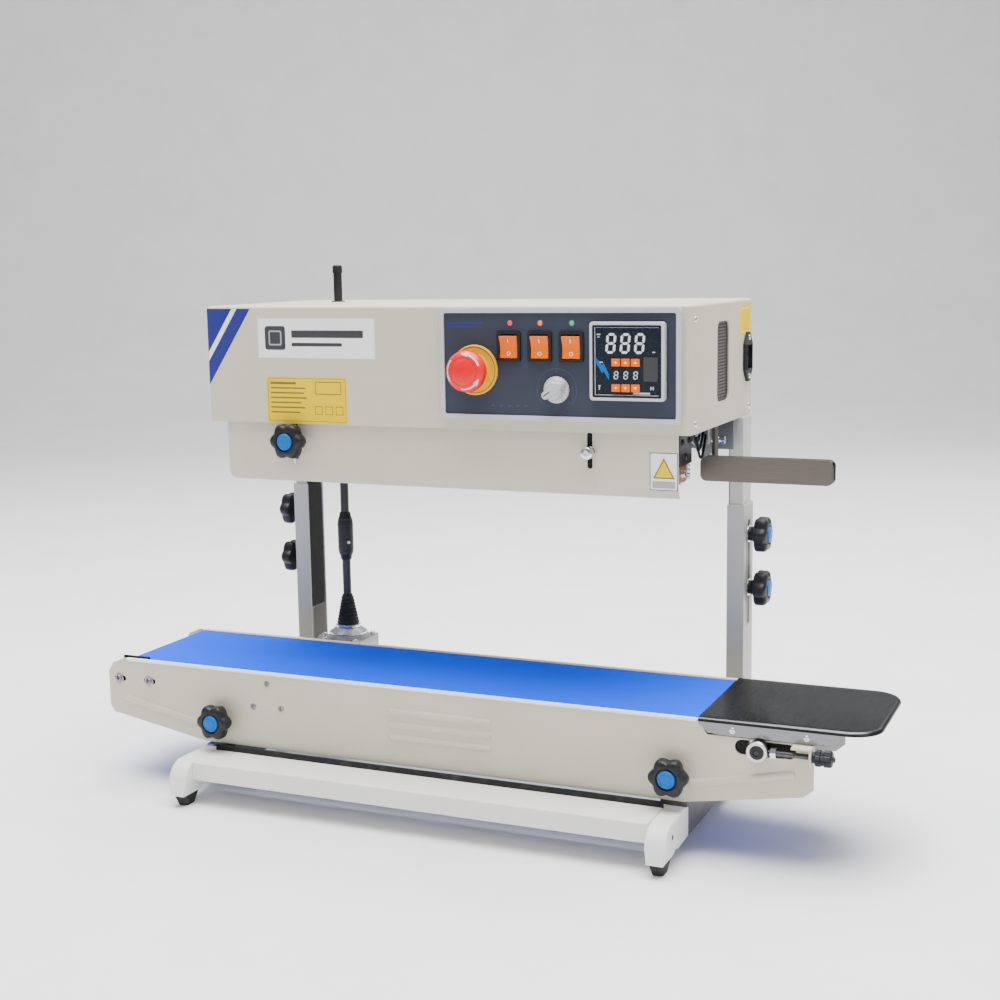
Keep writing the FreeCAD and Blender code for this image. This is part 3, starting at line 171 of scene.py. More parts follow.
def powder_coat(name, colour, rough=0.42):
    """Satin powder coat: orange peel, faint cloudiness and a little grime."""
    paint = Surface(name, colour, rough)
    cloud = paint.noise(9, 4, 0.6)
    darker = [c * 0.86 for c in colour]
    paint.vary_colour(paint.ramp(cloud, 0.38, 0.72), darker, 0.35)
    paint.mottle(420, 2, 0.55, 0.8, [c * 1.08 for c in colour], 0.25)
    paint.vary_rough(paint.noise(35, 3), rough - 0.06, rough + 0.08)
    return paint.bump(paint.noise(620, 2), 0.05, 0.35).bump(paint.noise(60, 1), 0.05, 0.15).material


def moulded(name, colour, rough=0.45, grain_mm=0.04, specular=0.5):
    """Moulded plastic with a fine spark-eroded grain."""
    plastic = Surface(name, colour, rough, Specular_IOR_Level=specular)
    plastic.mottle(45, 3, 0.4, 0.75, [c * 0.75 + 0.008 for c in colour], 0.3)
    plastic.vary_rough(plastic.noise(150, 3), rough - 0.08, rough + 0.1)
    return plastic.bump(plastic.noise(1500, 2), grain_mm, 0.5).material


def brushed(name, colour, rough=0.3, stretch=(4, 260, 260), edge=1.0):
    """Brushed steel, its grain along the first short axis of stretch."""
    steel = Surface(name, colour, rough, 1.0, Anisotropic=0.4, Specular_Tint=(edge, edge, edge, 1.0))
    grain = steel.noise(12, 4, 0.65, stretch)
    steel.vary_colour(steel.ramp(grain, 0.35, 0.7), [c * 0.72 for c in colour], 0.6)
    steel.mottle(14, 4, 0.45, 0.75, [c * 0.8 for c in colour], 0.4)
    steel.vary_rough(grain, rough - 0.08, rough + 0.12)
    return steel.bump(grain, 0.02, 0.3).material


def machined(name, colour, rough=0.28):
    """Turned or ground metal with fine tool marks."""
    metal = Surface(name, colour, rough, 1.0)
    marks = metal.noise(30, 3, 0.6, (3, 3, 90))
    metal.mottle(80, 4, 0.4, 0.75, [c * 0.7 for c in colour], 0.5)
    metal.vary_rough(marks, rough - 0.08, rough + 0.15)
    return metal.bump(marks, 0.02, 0.35).material


def cast_metal(name, colour, rough=0.5):
    """Sand or die cast metal with a pebbled skin."""
    cast = Surface(name, colour, rough, 0.85)
    cast.mottle(120, 4, 0.4, 0.7, [c * 0.6 for c in colour], 0.5)
    cast.vary_rough(cast.noise(200, 3), rough - 0.1, rough + 0.15)
    return cast.bump(cast.noise(700, 3), 0.12, 0.5).material


def rubbery(name, colour, rough=0.75, dust=0.35):
    """Matt rubber with dust in its pores."""
    rubber = Surface(name, colour, rough, Specular_IOR_Level=0.25)
    rubber.mottle(90, 4, 0.5, 0.8, (0.12, 0.115, 0.105), dust)
    return rubber.bump(rubber.noise(900, 3), 0.08, 0.6).material


def gloss(name, colour, rough=0.18, coat=0.5, specular=0.5):
    """Glossy plastic or printed film under a clear coat."""
    shiny = Surface(name, colour, rough, Coat_Weight=coat, Specular_IOR_Level=specular)
    shiny.mottle(25, 3, 0.4, 0.75, [c * 0.8 for c in colour], 0.3)
    shiny.vary_rough(shiny.noise(120, 3), max(rough - 0.06, 0.04), rough + 0.07)
    return shiny.bump(shiny.noise(300, 2), 0.02, 0.15).material


def belt_rubber():
    """The blue PVC belt: glossy, with a fine cloth imprint, scuffs and faint rub lines along its run."""
    belt = Surface("belt_blue", (0.0, 0.072, 0.90), 0.26, Specular_IOR_Level=0.0)
    weave = belt.add("ShaderNodeTexWave", Scale=260, Distortion=0.4, Detail=1.0)
    belt.link(belt.place, weave.inputs["Vector"])
    streaks = belt.noise(9, 4, 0.6, (1.5, 26, 26))
    belt.vary_colour(belt.ramp(streaks, 0.4, 0.75), (0.0, 0.09, 0.97), 0.3)
    belt.mottle(60, 4, 0.58, 0.85, (0.0, 0.06, 0.80), 0.12)
    belt.vary_rough(belt.noise(40, 4), 0.22, 0.3)
    return belt.bump(weave.outputs["Fac"], 0.03, 0.25).bump(streaks, 0.03, 0.1).material


def coated_cloth():
    """PTFE-coated glass cloth of the sealing bands."""
    cloth = Surface("ptfe_cloth", (0.33, 0.2, 0.1), 0.4)
    weave = cloth.add("ShaderNodeTexChecker", Scale=1400)
    cloth.link(cloth.place, weave.inputs["Vector"])
    cloth.mottle(60, 3, 0.4, 0.7, (0.2, 0.11, 0.05), 0.5)
    return cloth.bump(weave.outputs["Fac"], 0.05, 0.4).material


def glow(name, colour, strength):
    """A lamp or a lit figure, slightly uneven."""
    lamp = Surface(name, colour, 0.3, Emission_Color=(*colour, 1), Emission_Strength=strength)
    lamp.mottle(400, 2, 0.4, 0.7, [c * 0.7 for c in colour], 0.5)
    return lamp.material


BODY_PAINT = powder_coat("body_paint", (0.575, 0.538, 0.43))
BASE_PAINT = powder_coat("base_paint", (0.78, 0.77, 0.74))
FOOT_PLASTIC = moulded("foot_plastic", (0.80, 0.80, 0.785), 0.4)
COLUMN_PAINT = powder_coat("column_paint", (0.46, 0.455, 0.43))
# Near-white paint for the conveyor plates' rolled top edges: a painted highlight where the top light catches
# them.
HIGHLIGHT_EDGE_PAINT = powder_coat("painted_highlight_edge", (0.95, 0.94, 0.90), 0.3)
BEAM_GREY = powder_coat("beam_grey", (0.085, 0.08, 0.076))
POST_STEEL = powder_coat("post_steel", (0.50, 0.495, 0.47), 0.38)
RIM_PAINT = powder_coat("panel_rim", (0.50, 0.52, 0.55), 0.3)
PANEL_FILM = gloss("panel_film", (0.036, 0.043, 0.064), 0.38, 0.0, 0.2)
PANEL_INK = gloss("panel_ink", (0.056, 0.065, 0.09), 0.38, 0.0, 0.2)
PALE_INK = gloss("pale_ink", (0.55, 0.57, 0.62), 0.4, 0.1)
BELT_BLUE = belt_rubber()
PTFE = coated_cloth()
STAINLESS = brushed("stainless", (0.42, 0.41, 0.39), 0.3)
# A lighter copy of the tray's steel for its side flanges: painted light where the front light falls on them.
LIT_FLANGE_STEEL = brushed("flange_steel_painted_light", (0.20, 0.20, 0.21), 0.24, (4, 260, 260), 0.6)
TRAY_STEEL = brushed("tray_steel", (0.080, 0.081, 0.086), 0.24, (260, 4, 260), 0.60)
GUIDE_STEEL = brushed("guide_steel", (0.17, 0.152, 0.137), 0.34, edge=0.5)
STEEL = machined("machined_steel", (0.56, 0.56, 0.57))
CHROME = machined("chrome", (0.74, 0.74, 0.75), 0.14)
DARK_STEEL = machined("dark_steel", (0.30, 0.30, 0.31), 0.25)
BLACK_STEEL = machined("black_steel", (0.045, 0.045, 0.05), 0.38)
ALUMINIUM = cast_metal("aluminium", (0.42, 0.43, 0.44))
COPPER = cast_metal("oxidised_brass", (0.33, 0.15, 0.075), 0.45)
BRASS = machined("brass", (0.62, 0.42, 0.16), 0.3)
MOTOR_GREY = powder_coat("motor_grey", (0.12, 0.13, 0.15))
RUBBER = rubbery("rubber", (0.022, 0.022, 0.023))
# Flat matt black, for real black strips and wires and for sheets of painted shade put in slots and gaps.
MATT_BLACK_AND_SHADE = rubbery("matt_black_and_painted_shade", (0.010, 0.010, 0.010), 0.85, 0.05)
VENT_GREY = powder_coat("vent_grey", (0.085, 0.077, 0.074), 0.6)
BLACK = moulded("black_plastic", (0.010, 0.010, 0.013), 0.42, specular=0.3)
CAP_BLUE = gloss("cap_blue", (0.0, 0.12, 0.46), 0.35, 0.0, 0.15)
ORANGE = gloss("switch_orange", (0.86, 0.15, 0.0), 0.3, 0.0, 0.12)
RED = gloss("stop_red", (0.78, 0.0, 0.006), 0.25, 0.1, 0.3)
YELLOW = gloss("stop_yellow", (0.78, 0.42, 0.0), 0.4, 0.0, 0.2)
LABEL_YELLOW = gloss("label_yellow", (0.84, 0.58, 0.0), 0.55, 0.0, 0.0)
LABEL_WHITE = gloss("label_white", (0.88, 0.88, 0.88), 0.4, 0.1)
LABEL_BLUE = gloss("label_blue", (0.010, 0.016, 0.19), 0.4, 0.1)
LABEL_GREY = gloss("label_grey", (0.35, 0.36, 0.38), 0.4, 0.1)
INK_DARK = gloss("ink_dark", (0.03, 0.03, 0.035), 0.5, 0.0)
INK_OLIVE = gloss("ink_olive", (0.16, 0.13, 0.01), 0.5, 0.0)
SILVER = gloss("silver_knob", (0.48, 0.49, 0.50), 0.3, 0.3)
BEZEL_PALE = moulded("bezel_pale", (0.55, 0.56, 0.57), 0.4)
SCREEN = gloss("screen", (0.006, 0.011, 0.020), 0.25, 0.1, 0.3)
DIGIT_PALE = glow("digit_pale", (0.62, 0.68, 0.68), 0.25)
LAMP_RED = glow("lamp_red", (0.75, 0.05, 0.03), 0.4)
LAMP_AMBER = glow("lamp_amber", (0.80, 0.22, 0.02), 0.4)
LAMP_GREEN = glow("lamp_green", (0.03, 0.42, 0.16), 0.4)
FLOOR = powder_coat("studio_floor", (0.9, 0.9, 0.9), 0.7)


# ---------- mesh building, in mm
def facing(direction, *origin):
    """Axes on a surface: x to the right and y up as seen from outside, z outwards."""
    out = Vector(direction).normalized()
    up = Z if abs(out.z) < 0.9 else Y * math.copysign(1, out.z)
    right = up.cross(out).normalized()
    axes = Matrix((right, out.cross(right), out)).transposed().to_4x4()
    axes.translation = Vector(origin)
    return axes


def front(x, z, y):
    return facing(-Y, x, y, z)


def rear(x, z, y):
    return facing(Y, x, y, z)


def right(y, z, x):
    return facing(X, x, y, z)


def left(y, z, x):
    return facing(-X, x, y, z)


def top(x, y, z):
    return facing(Z, x, y, z)


def circle(radius, u=0.0, v=0.0, steps=28, start=0.0):
    angles = [start + 2 * math.pi * i / steps for i in range(steps)]
    return [(u + radius * math.cos(a), v + radius * math.sin(a)) for a in angles]


def rounded(width, height, radius, u=0.0, v=0.0, steps=5):
    """A rectangle with round corners about (u, v)."""
    points = []
    for i, (sx, sy) in enumerate(((1, 1), (-1, 1), (-1, -1), (1, -1))):
        cx, cy = u + sx * (width / 2 - radius), v + sy * (height / 2 - radius)
        for k in range(steps + 1):
            a = math.pi / 2 * (i + k / steps)
            points.append((cx + radius * math.cos(a), cy + radius * math.sin(a)))
    return points


def arc_band(radius, width, start, end, steps=14, u=0.0, v=0.0):
    """A flat band along an arc; angles in degrees."""
    angles = [math.radians(start + (end - start) * i / steps) for i in range(steps + 1)]
    outer = [(u + (radius + width / 2) * math.cos(a), v + (radius + width / 2) * math.sin(a)) for a in angles]
    inner = [(u + (radius - width / 2) * math.cos(a), v + (radius - width / 2) * math.sin(a)) for a in angles]
    return outer + inner[::-1]


def helix(radius, pitch, turns, steps=14):
    """Points of a spring about z, its first and last turn closed up flat."""
    points = []
    height = 0.0
    for i in range(int(turns * steps) + 1):
        turn = i / steps
        a = 2 * math.pi * turn
        points.append(Vector((radius * math.cos(a), radius * math.sin(a), height)))
        height += pitch / steps * (0.3 if turn < 1 or turn > turns - 1 else 1.0)
    return points


class Piece:
    """One object made of closed shapes, each in its own material; sizes in millimetres."""

    def __init__(self, name, body, slot, bevel=0.3, sharp=32, replaces=()):
        self.name = name
        self.body = body
        self.slot = slot
        self.bevel = bevel
        self.sharp = sharp
        self.replaces = replaces
        self.mesh = bmesh.new()
        self.materials = []

    def add(self, at, points, faces, material):
        """One closed shape; its faces are turned outwards."""
        if material not in self.materials:
            self.materials.append(material)
        verts = [self.mesh.verts.new(at @ Vector(p)) for p in points]
        made = []
        for face in faces:
            new = self.mesh.faces.new([verts[i] for i in face])
            new.material_index = self.materials.index(material)
            made.append(new)
        bmesh.ops.recalc_face_normals(self.mesh, faces=made)
        return self

    def lathe(self, at, profile, material, steps=40, ripple=None, ring=False):
        """Turns (radius, height) points about z; ripple(angle, radius, height) scales the radius."""
        points, rings = [], []
        for radius, height in profile:
            if radius < 1e-6:
                rings.append([len(points)] * steps)
                points.append((0, 0, height))
                continue
            rings.append(range(len(points), len(points) + steps))
            for i in range(steps):
                a = 2 * math.pi * i / steps
                r = radius * (ripple(a, radius, height) if ripple else 1)
                points.append((r * math.cos(a), r * math.sin(a), height))
        if ring:
            rings.append(rings[0])
        faces = []
        for low, high in zip(rings, rings[1:]):
            for i in range(steps):
                j = (i + 1) % steps
                corners = list(dict.fromkeys((low[i], low[j], high[j], high[i])))
                if len(corners) > 2:
                    faces.append(corners)
        if not ring:
            for end in (rings[0], rings[-1]):
                if len(set(end)) > 1:
                    faces.append(list(end))
        return self.add(at, points, faces, material)

    def rod(self, at, radius, low, high, material, steps):
        """A round bar, or a hexagonal one with 6 steps."""
        return self.lathe(at, [(0, low), (radius, low), (radius, high), (0, high)], material, steps)

    def collar(self, at, inner, outer, low, high, material, steps):
        """A round bar with a hole along it."""
        profile = [(inner, low), (outer, low), (outer, high), (inner, high)]
        return self.lathe(at, profile, material, steps, ring=True)

    def rim(self, at, outer, inner, u, v, low, high, material):
        """A ring between two rounded rectangles, each (width, height, radius), about (u, v)."""
        return self.frame(at, rounded(*outer, u, v), rounded(*inner, u, v), low, high, material)

    def plate(self, at, outline, low, high, material):
        """An outline raised from low to high."""
        n = len(outline)
        points = [(u, v, h) for h in (low, high) for u, v in outline]
        faces = [list(range(n)), list(range(n, 2 * n))]
        faces += [(i, (i + 1) % n, n + (i + 1) % n, n + i) for i in range(n)]
        return self.add(at, points, faces, material)

    def pad(self, at, width, height, radius, u, v, low, high, material, steps=5):
        """A plate with round corners about (u, v)."""
        return self.plate(at, rounded(width, height, radius, u, v, steps), low, high, material)

    def frame(self, at, outer, inner, low, high, material):
        """A flat ring between two outlines with the same number of points."""
        n = len(outer)
        points = [(u, v, h) for h in (low, high) for loop in (outer, inner) for u, v in loop]
        faces = []
        for i in range(n):
            j = (i + 1) % n
            faces += [(i, j, n + j, n + i), (2 * n + i, 2 * n + j, 3 * n + j, 3 * n + i),
                      (i, j, 2 * n + j, 2 * n + i), (n + i, n + j, 3 * n + j, 3 * n + i)]
        return self.add(at, points, faces, material)

    def block(self, x0, x1, y0, y1, z0, z1, material, at=Matrix()):
        """A block between two corners."""
        return self.plate(at, [(x0, y0), (x1, y0), (x1, y1), (x0, y1)], z0, z1, material)

    def loft(self, at, rings, material, closed=False):
        """A skin over rings of equally many points, capped at its ends unless it is closed."""
        n = len(rings[0])
        points = [p for loop in rings for p in loop]
        faces = []
        last = len(rings) if closed else len(rings) - 1
        for k in range(last):
            a, b = k * n, (k + 1) % len(rings) * n
            faces += [(a + i, a + (i + 1) % n, b + (i + 1) % n, b + i) for i in range(n)]
        if not closed:
            faces += [list(range(n)), list(range(len(points) - n, len(points)))]
        return self.add(at, points, faces, material)

    def tube(self, at, path, radius, material, steps=10, closed=False):
        """A round bar along a path."""
        path = [Vector(p) for p in path]
        count = len(path)
        rings = []
        side = None
        for i, point in enumerate(path):
            before = path[(i - 1) % count] if closed or i else point
            after = path[(i + 1) % count] if closed or i < count - 1 else point
            along = (after - before).normalized()
            if side is None:
                side = along.orthogonal()
            side = (side - along * side.dot(along)).normalized()
            other = along.cross(side)
            rings.append([point + side * (radius * math.cos(a)) + other * (radius * math.sin(a))
                          for a in (2 * math.pi * k / steps for k in range(steps))])
        return self.loft(at, rings, material, closed)

    def screw(self, at, radius, height, material=CHROME, steps=24):
        """A pan head with a pressed cross recess."""
        rings = [(1.0, 0.0), (1.0, 0.25), (0.93, 0.6), (0.78, 0.86), (0.6, 0.97), (0.52, 1.0), (0.3, 1.0)]
        points = [(radius * r * math.cos(2 * math.pi * i / steps),
                   radius * r * math.sin(2 * math.pi * i / steps),
                   height * (h - (0.75 if r < 0.55 and (i + 1) % (steps // 4) < 3 else 0)))
                  for r, h in rings for i in range(steps)]
        faces = []
        for k in range(len(rings) - 1):
            a, b = k * steps, (k + 1) * steps
            faces += [(a + i, a + (i + 1) % steps, b + (i + 1) % steps, b + i) for i in range(steps)]
        points.append((0, 0, height * 0.2))
        inner = (len(rings) - 1) * steps
        faces += [(inner + i, inner + (i + 1) % steps, len(points) - 1) for i in range(steps)]
        faces.append(list(range(steps)))
        return self.add(at, points, faces, material)

    def hex_bolt(self, at, radius, height, material=CHROME):
        """A hexagon head on a washer."""
        self.rod(at, radius * 1.45, 0, height * 0.18, material, 28)
        return self.lathe(at, [(0, height * 0.18), (radius, height * 0.18), (radius, height * 0.85),
                               (radius * 0.86, height), (0, height)], material, 6)

    def make(self):
        """The finished object, on its body."""
        self.mesh.transform(Matrix.Scale(MM, 4))
        for edge in self.mesh.edges:
            edge.smooth = len(edge.link_faces) == 2 and edge.calc_face_angle(0) < math.radians(self.sharp)
        for face in self.mesh.faces:
            face.smooth = True
        data = bpy.data.meshes.new(self.name)
        self.mesh.to_mesh(data)
        self.mesh.free()
        for material in self.materials:
            data.materials.append(material)
        piece = bpy.data.objects.new(self.name, data)
        bpy.context.scene.collection.objects.link(piece)
        if self.bevel:
            round_edges(piece, self.bevel, self.sharp)
        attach(piece, self.body)
        if self.replaces:
            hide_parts(*self.replaces)
        return piece


def round_edges(piece, width, angle, segments=2):
    """Breaks the sharp edges by a width in millimetres."""
    bevel = piece.modifiers.new("edges", "BEVEL")
    bevel.width = width * MM
    bevel.segments = segments
    bevel.limit_method = "ANGLE"
    bevel.angle_limit = math.radians(angle)
    bevel.harden_normals = True
    bevel.use_clamp_overlap = True


# ---------- the CAD nodes' finishes
def finish_cad(name, material, width=0.4):
    """Gives a CAD node its material, smooth shading between true edges, and broken edges."""
    piece = NODES[name]
    data = piece.data
    data.materials.clear()
    data.materials.append(material)
    for polygon in data.polygons:
        polygon.material_index = 0
    if "custom_normal" in data.attributes:
        data.attributes.remove(data.attributes["custom_normal"])
    normals = {}
    corners = [tuple(round(c, 7) for c in v.co) for v in data.vertices]
    keys = [frozenset((corners[a], corners[b])) for a, b in (edge.vertices for edge in data.edges)]
    for polygon in data.polygons:
        for key in polygon.edge_keys:
            place = frozenset((corners[key[0]], corners[key[1]]))
            normals.setdefault(place, []).append(polygon.normal.copy())
    for edge, key in zip(data.edges, keys):
        near = normals.get(key, [])
        edge.use_edge_sharp = len(near) != 2 or near[0].angle(near[1], 0) > math.radians(30)
    data.polygons.foreach_set("use_smooth", [True] * len(data.polygons))
    data.update()
    weld = piece.modifiers.new("weld", "WELD")
    weld.merge_threshold = 0.002 * MM
    if width:
        round_edges(piece, width, 30)


CAD_FINISHES = {node: look for nodes, *look in (
    ("base_beams", BEAM_GREY, "beam_paint", 0.8),
    ("cross_bars", BASE_PAINT, "base_paint", 0.8),
    ("foot_caps", FOOT_PLASTIC, "foot_plastic", 1.2),
    ("base_rubber press_wheel_front press_wheel_rear", RUBBER, "rubber", 0.4),
    ("outer_columns", COLUMN_PAINT, "column_paint", 0.4),
    ("inner_posts", POST_STEEL, "post_steel", 0.4),
    ("head_casing", BODY_PAINT, "body_paint", 0.0),
    ("conveyor_front_plate conveyor_rear_plate", BODY_PAINT, "body_paint", 0.4),
    ("front_guard", BODY_PAINT, "guard_paint", 0.3),
    ("slider_bed", STAINLESS, "stainless", 0.3),
    ("feeding_tray", TRAY_STEEL, "stainless", 0.3),
    ("bag_guide", GUIDE_STEEL, "stainless", 0.3),
    ("conveyor_belt", BELT_BLUE, "belt_blue", 0.3),
    ("bevel_gearbox", ALUMINIUM, "aluminium", 0.8),
    ("cooling_blocks", ALUMINIUM, "aluminium", 0.3),
    ("motor_pinion shaft_gear drive_wheel_front drive_wheel_rear", STEEL, "machined_steel", 0.0),
    ("drive_roller idle_wheel_front idle_wheel_rear", STEEL, "machined_steel", 0.3),
    ("end_roller tension_roller", STEEL, "machined_steel", 0.5),
    ("drive_shaft", BLACK_STEEL, "black_steel", 0.3),
    ("tension_carriage", BLACK_STEEL, "black_steel", 0.4),
    ("guard_thumbscrew", CHROME, "chrome", 0.3),
    ("fan_rotor", BLACK, "black_plastic", 0.0),
    ("tension_knob switch_bezels cooling_fan_frame", BLACK, "black_plastic", 0.4),
    ("power_inlet", BLACK, "black_plastic", 0.5),
    ("head_base_plate", MOTOR_GREY, "motor_grey", 0.3),
    ("drive_motor", MOTOR_GREY, "motor_grey", 0.5),
    ("control_panel", RIM_PAINT, "panel", 0.5),
    ("temperature_controller", BEZEL_PALE, "silver_plastic", 0.5),
    ("speed_knob", SILVER, "silver_plastic", 0.4),
    ("estop_body", YELLOW, "yellow", 0.4),
    ("estop_button", RED, "red", 0.6),
    ("heating_blocks", COPPER, "brass", 0.4),
    ("sealing_bands", PTFE, "ptfe", 0.0),
) for node in nodes.split()}
for node, (finish, slot_name, edge_width) in CAD_FINISHES.items():
    finish_cad(node, finish, edge_width)
for node in NODES:
    if node.startswith("digit_button"):
        finish_cad(node, ORANGE, 0.3)
    elif node.startswith("rocker_switch"):
        finish_cad(node, ORANGE, 0.6)
    elif "knob" in node and node not in CAD_FINISHES:
        finish_cad(node, BLACK, 0.5)


# ---------- clamp knobs
def flutes(count, depth, share):
    """A ripple of count grooves; share(radius, height) says how much of their depth is cut there."""
    def ripple(angle, radius, height):
        return 1.0 - depth * share(radius, height) * (0.5 + 0.5 * math.cos(count * angle))
    return ripple


def star_knob(node, direction):
    """A six-lobed grip on a steel washer and neck, with a round blue cap sunk in its face."""
    box = Box(node)
    out = Vector(direction)
    centre = Vector((box.x, box.y, box.z))
    outer = {0: (box.x0, box.x1), 1: (box.y0, box.y1)}
    axis = 0 if abs(out.x) > 0.5 else 1
    centre[axis] = outer[axis][1 if out[axis] > 0 else 0] - out[axis] * 23.5
    at = facing(out, *centre)

    def lobes(angle, radius, height):
        wave = 0.5 + 0.5 * math.cos(6 * angle)
        return 1.0 - 0.17 * (1 - wave ** 0.75) * min(1.0, max(0.0, (radius - 11.5) / 4.0))

    knob = Piece(f"{node}_grip", node, "black_plastic", 0.25, 40, (node,))
    knob.rod(at, 4.0, -4.0, 0.6, STEEL, 24)
    knob.rod(at, 8.9, 0.0, 1.2, CHROME, 36)
    knob.lathe(at, [
        (0, 1.2), (7.4, 1.2), (7.0, 3.0), (8.2, 6.2), (10.5, 7.4), (15.8, 8.0), (18.2, 9.2), (18.9, 11.0),
        (18.9, 17.4), (18.2, 19.6), (16.2, 21.2), (13.2, 21.9), (10.4, 22.0), (9.7, 21.2), (9.7, 20.2),
        (0, 20.2)
    ], BLACK, 96, lobes)
    knob.lathe(at, [
        (0, 20.2), (8.4, 20.2), (8.4, 22.2), (7.8, 23.0), (6.2, 23.1), (5.8, 22.8), (5.4, 23.2), (3.0, 23.45),
        (0, 23.5)
    ], CAP_BLUE, 48)
    knob.make()


for side, direction in (("left", -X), ("right", X)):
    for level in ("lower", "upper"):
        star_knob(f"column_knob_{side}_{level}", direction)
    star_knob(f"conveyor_knob_{side}", -Y)
star_knob("guard_knob", -Y)


# ---------- infeed tray
def infeed_tray():
    """A pressed sheet: flat floor, round outer corners, a rim rolled down, a flange down each side."""
    sheet = 1.2
    roll = 4.0
    high = TRAY.z1
    steps = 9
    edge = []
    corner = 28.0
    x0, x1, y0, y1 = TRAY.x0, TRAY.x1, TRAY.y0, TRAY.y1
    edge.append((x0, y0))
    for k in range(steps + 1):
        a = -math.pi / 2 + math.pi / 2 * k / steps
        edge.append((x1 - corner + corner * math.cos(a), y0 + corner + corner * math.sin(a)))
    for k in range(steps + 1):
        a = math.pi / 2 * k / steps
        edge.append((x1 - corner + corner * math.cos(a), y1 - corner + corner * math.sin(a)))
    edge.append((x0, y1))

    middle = Vector(((x0 + x1) / 2, (y0 + y1) / 2, 0))

    def inset(distance, height):
        """The tray's edge moved inwards, kept on its left end."""
        ring = []
        for x, y in edge:
            if x > x1 - corner - 0.01:
                cy = min(max(y, y0 + corner), y1 - corner)
                centre = Vector((x1 - corner, cy, 0))
                p = centre + (Vector((x, y, 0)) - centre).normalized() * (corner - distance)
            else:
                p = Vector((x, y + math.copysign(distance, middle.y - y), 0))
            p.z = height
            ring.append(p)
        return ring

    def rolled(offset):
        """The sheet's section from the floor out to the rim's foot, on its upper or lower face."""
        radius = roll - offset
        rings = [inset(roll + 14, high - offset), inset(roll + 7, high - offset)]
        for k in range(6):
            a = math.pi / 2 * k / 5
            rings.append(inset(roll - radius * math.sin(a), high - roll + radius * math.cos(a)))
        return rings

    outer, under = rolled(0.0), rolled(sheet)
    tray = Piece("infeed_tray", "conveyor", "stainless", 0.0, 50, ("feeding_tray",))
    tray.loft(Matrix(), [*outer, *under[::-1]], TRAY_STEEL, closed=True)
    tray.add(Matrix(), outer[0] + under[0], [list(range(len(edge))), list(range(len(edge), 2 * len(edge)))] +
             [(i, (i + 1) % len(edge), len(edge) + (i + 1) % len(edge),
               len(edge) + i) for i in range(len(edge))],
             TRAY_STEEL)
    low = TRAY.z0
    for y, sign in ((y0, 1), (y1, -1)):
        at = facing(-Y, 0, y + (sheet if sign > 0 else 0), 0)
        outline = [(x0, high - roll - 1.5), (x0 + 3, low + 7), (x0 + 8, low + 2.4), (x0 + 15, low + 0.4),
                   (x0 + 20, low),
                   (x1 - 44, low), (x1 - 38, low + 1.6), (x1 - 30, high - roll - 0.6),
                   (x1 - 28, high - roll + 0.1),
                   (x0, high - roll + 0.1)]
        # The flanges take the lighter steel copy, painted light standing in for the front light on them.
        tray.plate(at, outline, 0, sheet, LIT_FLANGE_STEEL)
    tray.make()
    screws = Piece("tray_screws", "conveyor", "chrome", 0.1)
    for x in (280.0, 347.5):
        screws.screw(front(x, low + 5.0, y0), 3.0, 0.9)
        screws.screw(rear(x, low + 5.0, y1), 3.0, 0.9)
    screws.make()


infeed_tray()


